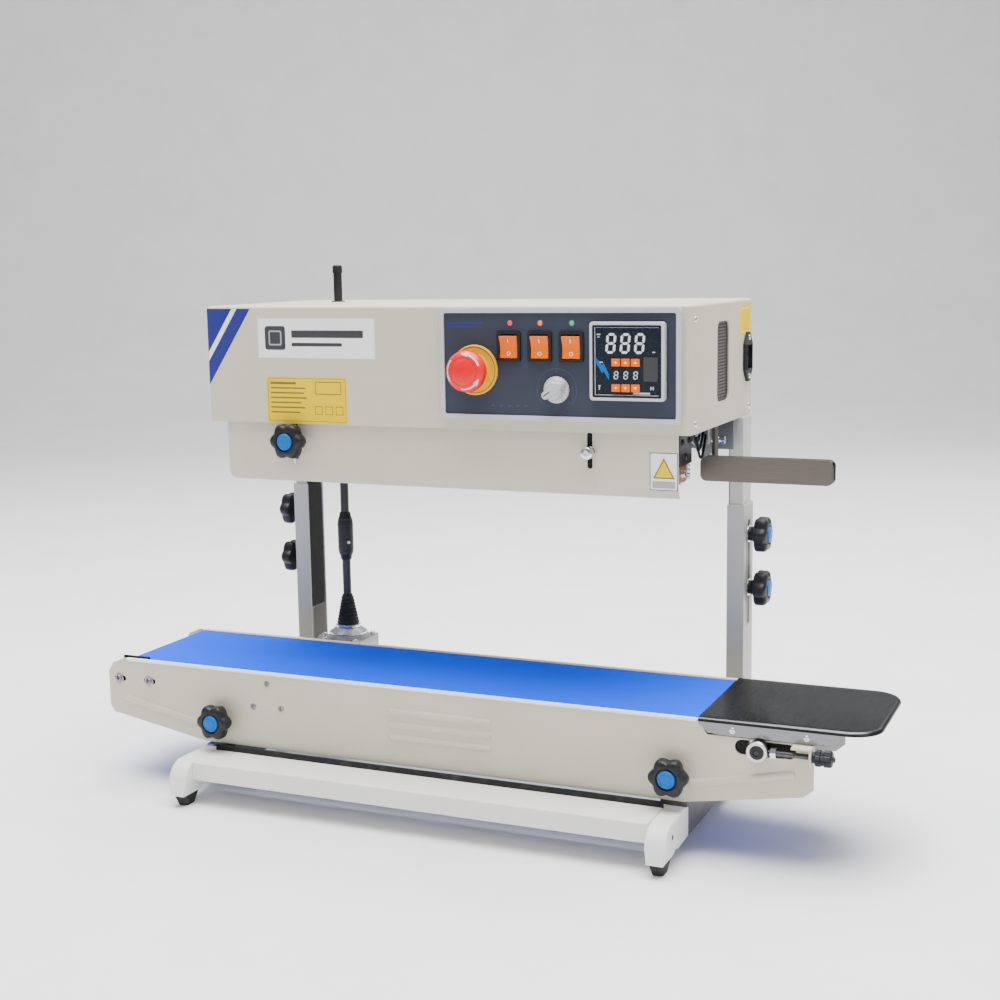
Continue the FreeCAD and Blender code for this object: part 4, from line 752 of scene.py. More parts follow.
# ---------- head casing details
def casing_details():
    """Plain labels, screws, the rod's grommet, the vent's mesh, the louvre's lips and a blank rear plate."""
    face = CASING.y0
    labels = Piece("front_labels", "head", "body_paint", 0.0)
    at = front(0, 0, face)
    x0, z1 = CASING.x0 + 0.9, CASING.z1 - 2.6
    for low, high, finish in ((0, 30, LABEL_BLUE), (30, 36, LABEL_WHITE), (36, 52, LABEL_BLUE)):
        stripe = dict.fromkeys(((x0 + high, z1), (x0 + low, z1), (x0, z1 - 1.5 * low), (x0, z1 - 1.5 * high)))
        labels.plate(at, list(stripe), -0.05, 0.12, finish)
    square_x, square_z = -205, 473.5
    labels.pad(at, 133.5, 39.5, 0.6, -158.2, 473.2, -0.05, 0.15, LABEL_WHITE)
    labels.pad(at, 24, 24, 3, square_x, square_z, 0.0, 0.18, INK_DARK)
    labels.rim(at, (15, 15, 2), (12, 12, 1), square_x, square_z, 0.1, 0.21, LABEL_GREY)
    for width, height, z in ((82, 7.5, 477.5), (58, 3.6, 467.0)):
        labels.pad(at, width, height, 1.2, -186 + width / 2, z, 0.0, 0.18, INK_DARK)
    notice_x, notice_z = -170.5, 411.3
    labels.pad(at, 93.0, 46.5, 1.2, notice_x, notice_z, -0.05, 0.12, LABEL_YELLOW)
    labels.rim(at, (90.0, 43.5, 1.0), (89.0, 42.5, 0.8), notice_x, notice_z, 0.0, 0.14, INK_OLIVE)
    for k, width in enumerate((30, 41, 39, 42, 36, 40, 34)):
        height = 1.5 if k else 2.4
        labels.pad(at, width, height, 0.4, -212.5 + width / 2, 428.0 - 4.9 * k, 0.0, 0.14, INK_OLIVE, 2)
    labels.rim(at, (30, 13, 1.0), (28.2, 11.2, 0.6), -145.5, 423.5, 0.0, 0.14, INK_OLIVE)
    for k in range(3):
        labels.rim(at, (8.6, 8.6, 0.8), (7.2, 7.2, 0.5), -157 + 12 * k, 401, 0.0, 0.14, INK_OLIVE)
    side = right(0, 0, CASING.x1)
    side_y, side_z = 97, 484.5
    labels.pad(side, 47, 30, 6, side_y, side_z, -0.05, 0.12, LABEL_YELLOW)
    labels.rim(side, (41, 24, 4.5), (39.4, 22.4, 4), side_y, side_z, 0.0, 0.14, LABEL_WHITE)
    labels.make()

    screws = Piece("casing_screws", "head", "chrome", 0.08)
    for z in (CASING.z0 + 9, CASING.z1 - 14):
        for y in (CASING.y0 + 14, CASING.y1 - 12):
            screws.screw(left(y, z, CASING.x0), 3.4, 1.4)
        screws.screw(right(CASING.y0 + 14, z, CASING.x1), 3.4, 1.4)
    screws.screw(right(CASING.y1 - 12, CASING.z0 + 9, CASING.x1), 3.4, 1.4)
    for x in (CASING.x0 + 16, -28, CASING.x1 - 16):
        for z in (CASING.z0 + 9, CASING.z1 - 14):
            screws.screw(rear(x, z, CASING.y1), 3.4, 1.4)
    screws.make()

    grommet = Piece("rod_grommet", "head", "rubber", 0.2)
    rod = pivot("drive_shaft_turn")
    grommet.lathe(top(rod.x, rod.y, CASING.z1), [
        (5.2, -1.5), (5.2, 0.9), (5.8, 1.3), (6.9, 1.1), (7.6, 0.5), (7.8, 0.0), (7.0, 0.0), (7.0, -1.5)
    ], RUBBER, 40, ring=True)
    grommet.make()

    vent = Piece("side_vent_mesh", "head", "black_steel", 0.0)
    x = CASING.x1 - 2.4
    y0, y1, z0, z1 = -8.0, 40.0, 406.5, 489.5
    middle = ((y0 + y1) / 2, (z0 + z1) / 2)
    vent.rim(right(0, 0, x), (y1 - y0, z1 - z0, 9), (41.6, 76.6, 7.8), *middle, -1.0, 0.7, VENT_GREY)
    count = 27
    for k in range(count):
        z = z0 + (z1 - z0) * (k + 0.5) / count
        vent.block(x - 0.9, x - 0.3, y0 + 1, y1 - 1, z - 0.75, z + 0.75, VENT_GREY)
    count = 16
    for k in range(count):
        y = y0 + (y1 - y0) * (k + 0.5) / count
        vent.block(x - 1.3, x - 0.7, y - 0.75, y + 0.75, z0 + 1, z1 - 1, VENT_GREY)
    # Painted shade: a dark plate behind the mesh stands in for the shaded inside of the casing.
    vent.pad(right(0, 0, x), y1 - y0, z1 - z0, 9, *middle, -2.4, -1.6, VENT_GREY)
    vent.make()

    rims = Piece("louvre_lips", "head", "body_paint", 0.0, 60)
    for row in range(6):
        z = 427.5 + 11 * row
        rings = []
        for grow, height in ((0.0, -0.2), (0.0, 0.6), (-0.8, 1.4), (-1.5, 0.6), (-1.5, -0.2)):
            outline = rounded(83.0 + 2 * grow, 8.0 + 2 * grow, 3.9 + grow, 20, z)
            rings.append([(u, v, height) for u, v in outline])
        rims.loft(rear(0, 0, CASING.y1), rings, BODY_PAINT, closed=True)
    rims.make()

    plate = Piece("blank_rating_plate", "head", "stainless", 0.0)
    at = rear(0, 0, CASING.y1)
    plate_u, plate_z = 165, 446
    plate.pad(at, 58, 36, 2, plate_u, plate_z, -0.05, 0.4, STAINLESS)
    plate.rim(at, (54, 32, 1.4), (53, 31, 1), plate_u, plate_z, 0.3, 0.5, INK_DARK)
    for k in range(4):
        plate.pad(at, 46, 0.5, 0.2, plate_u, 436 + 6.5 * k, 0.3, 0.5, INK_DARK, 2)
    for u in (-26.4, 26.4):
        for v in (-15.4, 15.4):
            plate.lathe(rear(-plate_u - u, plate_z + v, CASING.y1), [
                (0, 0.4), (1.3, 0.4), (1.0, 1.0), (0, 1.2)
            ], CHROME, 16)
    plate.make()


casing_details()


# ---------- control panel
SEGMENTS = {"a": (0, 1, 0), "g": (0, 0, 0), "d": (0, -1, 0), "f": (-1, 0.5, 1), "b": (1, 0.5, 1),
            "e": (-1, -0.5, 1),
            "c": (1, -0.5, 1)}


def figure_eight(piece, at, u, v, width, height, stroke, low, high, material, slant=0.09):
    """A seven-segment figure with every segment lit, as when a display is tested."""
    for column, row, upright in SEGMENTS.values():
        length = (height / 2 if upright else width) - stroke * 0.35
        half, tip = length / 2 - stroke * 0.55, stroke / 2
        shape = [(-half, tip), (half, tip), (half + tip, 0), (half, -tip), (-half, -tip), (-half - tip, 0)]
        if upright:
            shape = [(-b, a) for a, b in shape]
        cx, cy = column * width / 2, row * height / 2
        points = [(u + cx + a + (cy + b) * slant, v + cy + b) for a, b in shape]
        piece.plate(at, points, low, high, material)


def panel_details():
    """The panel's print, the dial's ticks and the lamps above the switches."""
    face = PANEL_FACE
    dial = pivot("speed_knob_turn")
    at = front(0, 0, face)
    ink = Piece("panel_print", "head", "panel", 0.0)
    for k in range(11):
        a = math.radians(225 - 27 * k)
        inner, outer = 15.6, 17.4 if k % 5 else 18.4
        d = Vector((math.cos(a), math.sin(a)))
        n = Vector((-d.y, d.x)) * 0.35
        base = Vector((dial.x, dial.z))
        points = [base + d * inner - n, base + d * inner + n, base + d * outer + n, base + d * outer - n]
        ink.plate(at, [tuple(p) for p in points], 0.0, 0.1, PANEL_INK)
    ink.plate(at, arc_band(19.8, 0.7, -42, 222, 30, dial.x, dial.z), 0.0, 0.08, PANEL_INK)
    for k in range(5):
        ink.pad(at, 3.4, 1.3, 0.5, 36 + 8.6 * k, 411, 0.0, 0.08, PANEL_INK, 2)
    ink.pad(at, 36, 2.0, 0.9, 8, LAMP_ROW, 0.0, 0.08, LABEL_BLUE, 3)
    ink.pad(at, 26, 1.2, 0.5, 3, 485.4, 0.0, 0.08, LABEL_BLUE, 3)
    ink.make()
    lamps = Piece("switch_lamps", "head", "red", 0.0, 50)
    for x, material in zip((54.9, 85.5, 117.2), (LAMP_RED, LAMP_AMBER, LAMP_GREEN)):
        place = front(x, LAMP_ROW, face)
        lamps.lathe(place, [
            (0, -0.1), (3.3, -0.1), (3.3, 0.35), (2.9, 0.6), (2.6, 0.5), (0, 0.5)
        ], PANEL_INK, 32)
        lamps.lathe(place, [(0, 0.3), (2.5, 0.3), (2.3, 0.9), (1.4, 1.35), (0, 1.5)], material, 32)
    lamps.make()


def film(name, area, face, cutouts, material, slot):
    """A thin film on a face that looks to the front, open at each cutout; boxes are (x0, x1, z0, z1)."""
    sheet = Piece(name, "head", slot, 0.0)
    x0, x1, z0, z1 = area
    at = front(0, 0, face)
    cuts = sorted({x0, x1, *(e for box in cutouts for e in (box[0], box[1]))})
    for a, b in zip(cuts, cuts[1:]):
        spans = sorted((box[2], box[3]) for box in cutouts if box[0] <= a + 0.01 and box[1] >= b - 0.01)
        low = z0
        for s, e in spans + [(z1, z1)]:
            if s - low > 0.01:
                sheet.plate(at, [(a, low), (b, low), (b, s), (a, s)], 0.0, 0.06, material)
            low = e
    sheet.make()


switch_boxes = []
for node in ROCKERS:
    switch = Box(node)
    switch_boxes.append((switch.x - 11.6, switch.x + 11.6, ROCKER_ROW - 13.6, ROCKER_ROW + 13.6))
knob_box, stop_box = Box("speed_knob"), Box("estop_button")
panel_details()
film("panel_film", (PANEL.x0 + 4.6, PANEL.x1 - 4.6, PANEL.z0 + 4.6, PANEL.z1 - 4.6), PANEL_FACE,
     [*switch_boxes,
      (CONTROLLER.x - 35, CONTROLLER.x + 35, CONTROLLER.z - 35, CONTROLLER.z + 35),
      (stop_box.x - 16, stop_box.x + 16, stop_box.z - 16, stop_box.z + 16),
      (knob_box.x - 8, knob_box.x + 8, knob_box.z - 8, knob_box.z + 8)], PANEL_FILM, "panel")


# ---------- switches, stop button and dial
def rocker_looks(node):
    """A rocker with a hollow face; a bar above and a ring below mark its two ends."""
    tip = pivot(f"{node}_tip")
    middle = Matrix.Translation((tip.x, PANEL.y0 + 3.0, tip.z))
    at = middle @ Matrix.Rotation(math.radians(8), 4, "X") @ facing(-X, 0, 0, 0)
    piece = Piece(f"{node}_cap", node, "orange", 0.5, 40, (node,))
    count = 12
    half, proud, hollow = 10.5, 5.6, 2.3
    heights = [(-half + 2 * half * k / count) for k in range(count + 1)]
    outline = [(proud - hollow * (1 - (v / half) ** 2) - 0.5 * (abs(v) / half) ** 8, v) for v in heights]
    outline += [(0.0, half), (-6.8, 8.0), (-6.8, -8.0), (0.0, -half)]
    piece.plate(at, outline, -8.9, 8.9, ORANGE)
    piece.make()
    marks = Piece(f"{node}_marks", node, "orange", 0.0)
    for v, ring in ((6.0, False), (-6.0, True)):
        lift = proud - hollow * (1 - (v / half) ** 2)
        lean = math.atan(2 * hollow * v / half ** 2)
        spot = at @ Matrix.Translation((lift, v, 0)) @ Matrix.Rotation(math.pi / 2, 4, "Y")
        spot = spot @ Matrix.Rotation(lean, 4, "X")
        if ring:
            marks.frame(spot, circle(1.9, steps=24), circle(1.4, steps=24), -0.3, 0.12, LABEL_WHITE)
        else:
            marks.plate(spot, rounded(0.6, 4.0, 0.25, steps=2), -0.3, 0.12, LABEL_WHITE)
    marks.make()


for node in ROCKERS:
    rocker_looks(node)


def stop_button():
    """The mushroom head with three turning arrows, and the disc's printed ring."""
    box = Box("estop_button")
    at = front(box.x, box.z, box.y0)
    head = Piece("estop_mushroom", "estop_button", "red", 0.0, 50, ("estop_button",))
    head.lathe(at, [
        (0, -54.0), (7.9, -54.0), (7.9, -16.0), (13.5, -16.2), (17.6, -15.6), (19.3, -13.8), (19.95, -11.0),
        (19.95, -9.0), (19.4, -6.4), (17.9, -4.2), (15.4, -2.4), (13.6, -1.7), (12.9, -1.9), (12.2, -1.5),
        (9.0, -0.6), (5.0, -0.15), (0, 0)
    ], RED, 72)
    head.make()
    arrows = Piece("estop_arrows", "estop_button", "red", 0.0)
    for k in range(3):
        rings = []
        for step in range(19):
            turn = math.radians(20 + 120 * k + 4.2 * step)
            half = 0.75 if step < 13 else 1.9 * (19 - step) / 6 + 0.05
            section = []
            inner, outer = 16.6 - half, 16.6 + half
            for radius, lift in ((inner, -0.5), (outer, -0.5), (outer, 0.12), (inner, 0.12)):
                height = -2.4 - 0.72 * (radius - 15.4) if radius > 15.4 else -2.4 + 0.39 * (15.4 - radius)
                section.append((radius * math.cos(turn), radius * math.sin(turn), height + lift))
            rings.append(section)
        arrows.loft(at, rings, PALE_INK)
    arrows.make()
    ring = Piece("estop_disc_print", "head", "yellow", 0.0)
    place = front(box.x, box.z, PANEL_FACE - 3.0)
    ring.frame(place, circle(22.2, steps=64), circle(21.6, steps=64), 0.0, 0.12, INK_DARK)
    ring.lathe(place, [(10.9, 0.0), (15.8, 0.0), (14.8, 2.6), (14.2, 4.0), (10.9, 4.0)], BLACK, 48, ring=True)
    ring.make()


stop_button()


def dial_knob():
    """The speed dial: a ribbed cone on a skirt, a grip blade with a pointer line, and the nut behind."""
    box = Box("speed_knob")
    at = front(box.x, box.z, box.y0)

    def cut(radius, height):
        return min(1.0, max(0.0, radius - 7.6)) if height < -1.5 else 0.0

    knob = Piece("speed_knob_cap", "speed_knob", "silver_plastic", 0.0, 40, ("speed_knob",))
    knob.rod(at, 2.9, -30, -15.6, STEEL, 20)
    knob.lathe(at, [
        (0, -15.6), (12.9, -15.6), (12.9, -14.2), (12.2, -13.0), (10.4, -12.0), (9.6, -11.0), (8.6, -5.0),
        (8.0, -3.9), (7.0, -3.3), (0, -3.2)
    ], SILVER, 120, flutes(30, 0.035, cut))
    blade = []
    for width, length, height in ((8.6, 24.4, -13.0), (7.4, 22.6, -2.0), (6.2, 21.2, -0.5), (4.4, 19.4, 0.0)):
        blade.append([(u, v, height) for u, v in rounded(width, length, width * 0.46)])
    knob.loft(at @ Matrix.Rotation(math.radians(-55), 4, "Z"), blade, SILVER)
    knob.plate(at @ Matrix.Rotation(math.radians(125), 4, "Z"), rounded(1.1, 8.0, 0.5, 0, 5.0), -0.3, 0.0,
               INK_DARK)
    knob.make()
    nut = Piece("speed_knob_nut", "head", "chrome", 0.15)
    nut.collar(front(box.x, box.z, PANEL_FACE), 3.4, 6.9, 0.0, 0.3, CHROME, 6)
    nut.make()


dial_knob()


# ---------- temperature controller
def controller_face():
    """The dark window with its pale edge, figures and marks, and the marks on the six keys."""
    c = CONTROLLER
    deep = c.y0 + 1.5
    keys = [Box(node) for node in sorted(NODES) if node.startswith("digit_button")]
    cut = [(k.x0 - 0.1, k.x1 + 0.1, k.z0 - 0.1, k.z1 + 0.1) for k in keys]
    film("controller_window", (c.x - 31, c.x + 31, c.z - 31, c.z + 31), deep, cut, SCREEN, "black_plastic")
    edge = Piece("controller_edge", "head", "black_plastic", 0.0)
    at = front(0, 0, c.y0)
    edge.rim(at, (66.4, 66.4, 1.6), (61.8, 61.8, 0.4), c.x, c.z, -0.05, 0.1, SCREEN)
    edge.rim(at, (66.9, 66.9, 1.8), (66.4, 66.4, 1.6), c.x, c.z, -0.05, 0.13, PALE_INK)
    edge.make()
    figures = Piece("controller_figures", "head", "silver_plastic", 0.0)
    at = front(0, 0, deep - 0.06)
    middle = keys[1].x
    for k in (-1, 0, 1):
        figure_eight(figures, at, middle + 13.8 * k - 0.5, c.z + 16.4, 7.2, 16.4, 2.3, 0.0, 0.12, DIGIT_PALE)
        figure_eight(figures, at, middle + 9.4 * k, c.z - 12.6, 3.3, 6.6, 1.0, 0.0, 0.12, PALE_INK)
    for u, v, w, h in (
            (-27.5, 24.5, 3.6, 1.2), (-27.5, 22.2, 2.2, 0.8), (25.5, 8.6, 3.0, 0.9), (-25.0, -0.9, 3.4, 1.0),
            (-26.8, -24.4, 1.0, 3.6), (-26.8, -22.4, 2.6, 0.8),
            (22.8, -24.2, 1.0, 3.2), (25.0, -24.2, 1.0, 3.2)):
        figures.pad(at, w, h, 0.38, c.x + u, c.z + v, 0.0, 0.1, PALE_INK, 2)
    figures.pad(at, 13.5, 22.0, 1.0, c.x + 22.5, c.z - 7.0, -0.02, 0.06, INK_DARK)
    wedge = [(-31, 0), (-31, 4.5), (-24, -3.5), (-22.5, -1.6), (-17.5, -12), (-17.5, -17.5), (-22.6, -9),
             (-24.2, -11)]
    figures.plate(at, [(c.x + u, c.z + v) for u, v in wedge[::-1]], -0.02, 0.08, CAP_BLUE)
    figures.pad(at, 16, 1.6, 0.5, c.x + 14, c.z - 29.0, -0.02, 0.1, PALE_INK)
    figures.make()
    for box, node in zip(keys, sorted(n for n in NODES if n.startswith("digit_button"))):
        mark = Piece(f"{node}_mark", node, "orange", 0.0)
        sign = 1 if "upper" in node else -1
        mark.plate(front(box.x, box.z, box.y0), [(-1.7, -0.9 * sign), (1.7, -0.9 * sign), (0, 1.2 * sign)],
                   -0.05, 0.1,
                   LABEL_WHITE)
        mark.make()


controller_face()


# ---------- front guard
def guard_details():
    """A plain label, the dark inside of the two slots and the knurled thumbscrew."""
    g = GUARD
    label = Piece("guard_label", "front_guard", "guard_paint", 0.0)
    at = front(0, 0, g.y0)
    cx, cz = g.x1 - 14.0, 352.5
    label.pad(at, 27, 35, 0.8, cx, cz, -0.05, 0.12, LABEL_WHITE)
    label.rim(at, (27, 35, 0.8), (25.6, 33.6, 0.6), cx, cz, 0.05, 0.15, INK_DARK)
    label.plate(at, [(cx - 10.6, cz - 6.6), (cx + 10.6, cz - 6.6), (cx, cz + 13.0)], 0.0, 0.16, INK_OLIVE)
    label.plate(at, [(cx - 8.4, cz - 5.3), (cx + 8.4, cz - 5.3), (cx, cz + 10.2)], 0.0, 0.19, LABEL_YELLOW)
    label.pad(at, 22, 6.5, 0.6, cx, cz - 12.2, 0.0, 0.16, LABEL_GREY)
    label.make()
    knob, thumb = pivot("guard_knob_turn"), pivot("guard_thumbscrew_turn")
    dark = Piece("guard_slot_shadow", "head", "black_steel", 0.0)
    tab_face, slot_z = g.y0 + 1.5, 368.8
    for slot in (knob, thumb):
        dark.pad(front(0, 0, tab_face), 12, 37, 2, slot.x, slot_z, 0.02, 0.17, MATT_BLACK_AND_SHADE)
    dark.make()
    box = Box("guard_thumbscrew")
    screw = Piece("guard_thumbscrew_head", "guard_thumbscrew", "chrome", 0.0, 40, ("guard_thumbscrew",))
    at = front(box.x, box.z, box.y0)

    def cut(radius, height):
        return 1.0 if radius > 6.0 and height > -8 else 0.0

    screw.lathe(at, [
        (0, -19.4), (2.4, -19.4), (2.4, -11.0), (5.9, -11.0), (6.1, -10.4), (5.9, -9.6), (4.0, -9.4),
        (4.0, -7.6), (5.6, -7.4), (6.2, -6.8), (6.2, -1.6), (5.7, -0.8), (5.0, -0.4), (0, -0.4)
    ], CHROME, 108, flutes(36, 0.04, cut))
    screw.screw(at @ Matrix.Translation((0, 0, -0.45)), 3.6, 0.45)
    screw.make()


guard_details()


# ---------- conveyor details
def conveyor_details():
    """The side plates' screws, their rolled top edges in a near-white painted highlight, black sheets of
    painted shade in their slots and beside the belt's end, strips along the belt, and its joint.
    """
    screws = Piece("conveyor_screws", "conveyor", "chrome", 0.08)
    for x, z in ((-211.0, 120.5), (-228.0, 95.0), (-195.0, 95.5)):
        screws.screw(front(x, z, PLATE_FACE), 3.3, 1.3, DARK_STEEL)
    roller_screws_z = 109.5
    for x in (-396.5, -358.0):
        at = front(x, roller_screws_z, PLATE_FACE)
        screws.lathe(at, [(0, -2.2), (5.6, -2.2), (5.6, 0.5), (5.2, 0.9), (0, 0.9)], DARK_STEEL, 32)
        screws.screw(at @ Matrix.Translation((0, 0, 0.8)), 3.6, 2.2, DARK_STEEL)
        screws.hex_bolt(rear(x, roller_screws_z, REAR_PLATE.y1), 3.8, 3.4)
    for z, row in ((122.0, (-140.0, -20.0, 100.0, 215.0)), (70.0, (-300.0, -60.0, 60.0, 180.0))):
        for x in row:
            screws.screw(rear(x, z, REAR_PLATE.y1), 3.3, 1.3)
    screws.make()

    strips = Piece("belt_strips_and_painted_shade", "conveyor", "black_plastic", 0.2)
    end = pivot("end_roller_turn")
    for y0, y1 in ((PLATE_BACK + 0.1, BELT.y0 - 0.25), (BELT.y1 + 0.25, REAR_PLATE.y1 - 2.1)):
        strips.block(end.x + 34, TRAY.x0 - 2, y0, y1, 123.0, 124.4, BLACK)
    # Painted shade: a matt black block fills the shaded gap between the belt's end and the front plate.
    strips.block(end.x - 14, end.x + 18, PLATE_BACK + 0.1, BELT.y0 - 0.25, 124.0, 134.6, MATT_BLACK_AND_SHADE)
    tension = pivot("tension_roller_turn")
    # Painted shade: thin matt black sheets behind the front plate's slots stand in for their shaded insides.
    for x0, x1 in ((-404.5, -386.5), (-366.5, -348.5), (tension.x - 28, tension.x - 12),
                   (tension.x + 6, tension.x + 44)):
        strips.block(x0, x1, PLATE_BACK + 0.1, PLATE_BACK + 0.5, 103.0, 117.0, MATT_BLACK_AND_SHADE)
    strips.make()

    # The rolled top edges are real; their near-white colour is a painted highlight.
    edges = Piece("plate_edges", "conveyor", "body_paint", 0.0, 60)
    for y in (PLATE_FACE + 0.9, REAR_PLATE.y1 - 0.9):
        path = [Vector((x, y, PLATE.z1 - 1.0)) for x in (end.x - 8, -200, 0, TRAY.x0 - 1)]
        edges.tube(Matrix(), path, 2.0, HIGHLIGHT_EDGE_PAINT, 12)
    edges.make()

    tray_bar = Piece("tray_support", "conveyor", "stainless", 0.4)
    y0, y1 = PLATE.y1 + 0.1, REAR_PLATE.y0 - 0.1
    for x0, x1, z0 in ((26, 29, 96.0), (29, 42, 129.4)):
        tray_bar.block(tension.x + x0, tension.x + x1, y0, y1, z0, 131.4, STAINLESS)
    tray_bar.make()

    joint = Piece("belt_joint", "conveyor", "belt_blue", 0.0)
    y0, y1 = BELT.y0 + 0.3, BELT.y1 - 0.3
    joint.plate(top(0, 0, BELT.z1 - 0.02), [(60, y0), (60.7, y0), (96.7, y1), (96.0, y1)], 0.0, 0.04, BELT_BLUE)
    joint.make()


conveyor_details()


def tension_details():
    """The tension roller's end rings, the carriage's threaded rod and nut, and the knurled knob."""
    carriage = Box("tension_carriage")
    centre = pivot("tension_roller_turn")
    rod_y = Box("tension_knob").y
    ring = Piece("tension_ring", "tension_carriage", "chrome", 0.0, 40)
    for at in (front(centre.x, centre.z, carriage.y0), rear(centre.x, centre.z, carriage.y1)):
        ring.lathe(at, [
            (6.6, 0.0), (9.3, 0.0), (9.9, -0.8), (9.9, -4.0), (9.3, -4.8), (6.6, -4.8)
        ], STEEL, 56, ring=True)
        ring.lathe(at, [
            (0, -1.5), (6.6, -1.5), (6.6, 0.3), (5.9, 0.9), (3.4, 0.9), (3.1, 0.1), (0, 0.1)
        ], BLACK, 48)
        ring.rod(at, 2.6, 0.0, 0.6, BLACK_STEEL, 6)
    ring.make()
    rod = Piece("tension_rod", "tension_carriage", "chrome", 0.0, 60)
    along = facing(X, centre.x + 8, rod_y, centre.z)
    thread = []
    length = carriage.x1 - centre.x - 8
    count = int(length / 0.5)
    for k in range(count + 1):
        thread.append((2.55 if k % 2 else 2.2, length * k / count))
    rod.lathe(along, [(0, 0.0), *thread, (0, length)], CHROME, 20)
    rod.collar(facing(X, centre.x + 12, rod_y, centre.z), 2.6, 5.2, 0, 5, CHROME, 6)
    rod.make()
    box = Box("tension_knob")

    def cut(radius, height):
        return 1.0 if radius > 6.5 else 0.0

    knob = Piece("tension_knob_grip", "tension_knob", "black_plastic", 0.0, 40, ("tension_knob",))
    at = facing(X, box.x0, box.y, box.z)
    knob.lathe(at, [
        (2.7, 0.0), (5.0, 0.0), (5.0, 2.4), (6.8, 2.6), (7.6, 3.4), (7.6, 7.2), (6.6, 7.8), (6.6, 10.2),
        (7.6, 10.8), (7.6, 15.6), (7.0, 16.9), (5.8, 17.7), (2.7, 17.9)
    ], BLACK, 80, flutes(20, 0.07, cut), ring=True)
    knob.make()


tension_details()


# ---------- drive shaft and gearbox
def shaft_details():
    """The rod's sleeve, tapered coupling and bellows boot, and the gearbox's fins and bolts."""
    rod = pivot("drive_shaft_turn")
    box = Box("drive_shaft")
    at = top(rod.x, rod.y, 0)
    piece = Piece("shaft_trim", "drive_shaft", "black_steel", 0.0, 40)
    piece.lathe(at, [
        (4.4, box.z1 - 9), (5.3, box.z1 - 8.4), (5.3, box.z1 - 1.6), (4.6, box.z1 - 0.5), (3.0, box.z1),
        (2.0, box.z1)
    ], BLACK, 32, ring=True)
    piece.lathe(at, [
        (4.5, 219), (5.8, 220), (6.6, 224), (8.2, 229), (8.6, 232), (8.6, 261), (8.2, 264), (6.6, 269),
        (5.8, 273), (4.5, 274)
    ], BLACK, 40, ring=True)
    for z in (234.0, 259.0):  # the coupling's two bands
        band = [(8.4, z - 1), (8.9, z - 0.6), (8.9, z + 0.6), (8.4, z + 1)]
        piece.lathe(at, band, BLACK_STEEL, 40, ring=True)
    for z, angle in ((240.0, 40), (252.0, 220)):  # and its two screws
        d = Vector((math.cos(math.radians(angle)), -math.sin(math.radians(angle)), 0))
        spot = Vector((rod.x, rod.y, z)) + d * 8.4
        piece.lathe(facing(d, *spot), [(0, -0.5), (1.9, -0.5), (1.9, 0.5), (1.6, 0.8), (0, 0.8)], STEEL, 18)
    bellows = [(4.5, 147.3)]
    for k in range(9):
        z = 148.0 + 3.4 * k
        r = 12.4 - 0.66 * k
        bellows += [(r, z), (r, z + 1.5), (r - 1.5, z + 2.4)]
    bellows += [(5.8, 180.0), (4.5, 180.4)]
    piece.lathe(at, bellows, RUBBER, 40, ring=True)
    piece.make()

    g = GEARBOX
    box_top = 131.0
    bolts = Piece("gearbox_details", "conveyor", "aluminium", 0.25)
    for x in (g.x0 + 6, g.x1 - 6):
        for y in (g.y0 + 7, g.y1 - 6):
            bolts.hex_bolt(top(x, y, box_top), 3.2, 3.0)
            bolts.rod(top(x, y, box_top - 16), 4.6, 0, 16, ALUMINIUM, 28)
    bolts.collar(top(rod.x, rod.y, box_top + 5.5), 16.2, 21.4, 0, 1.6, CHROME, 48)
    bolts.collar(top(rod.x, rod.y, box_top + 12.5), 11.6, 14.0, 0, 2.4, CHROME, 48)
    for k in range(5):
        z = 86.0 + 6.0 * k
        for x, out in ((g.x0, -1), (g.x1, 1)):
            inner, outer = sorted((x - out * 0.5, x + out * 2.0))
            bolts.block(inner, outer, g.y0 + 9, g.y1 - 9, z, z + 2.0, ALUMINIUM)
        bolts.block(g.x0 + 9, g.x1 - 9, g.y1 - 0.5, g.y1 + 2.0, z, z + 2.0, ALUMINIUM)
    bolts.lathe(rear(rod.x, 122.0, g.y1), [
        (0, -0.2), (4.0, -0.2), (4.0, 3.0), (2.4, 4.0), (0, 4.0)
    ], BRASS, 6)
    ear = [(-12, -5), (-4, -7), (4, -7), (4, 7), (-4, 7), (-12, 5)]
    bolts.plate(top(g.x0, rod.y, 126.0), ear, 0.0, 4.0, ALUMINIUM)
    bolts.hex_bolt(top(g.x0 - 6, rod.y, 130.0), 3.0, 3.0)
    bolts.make()


shaft_details()


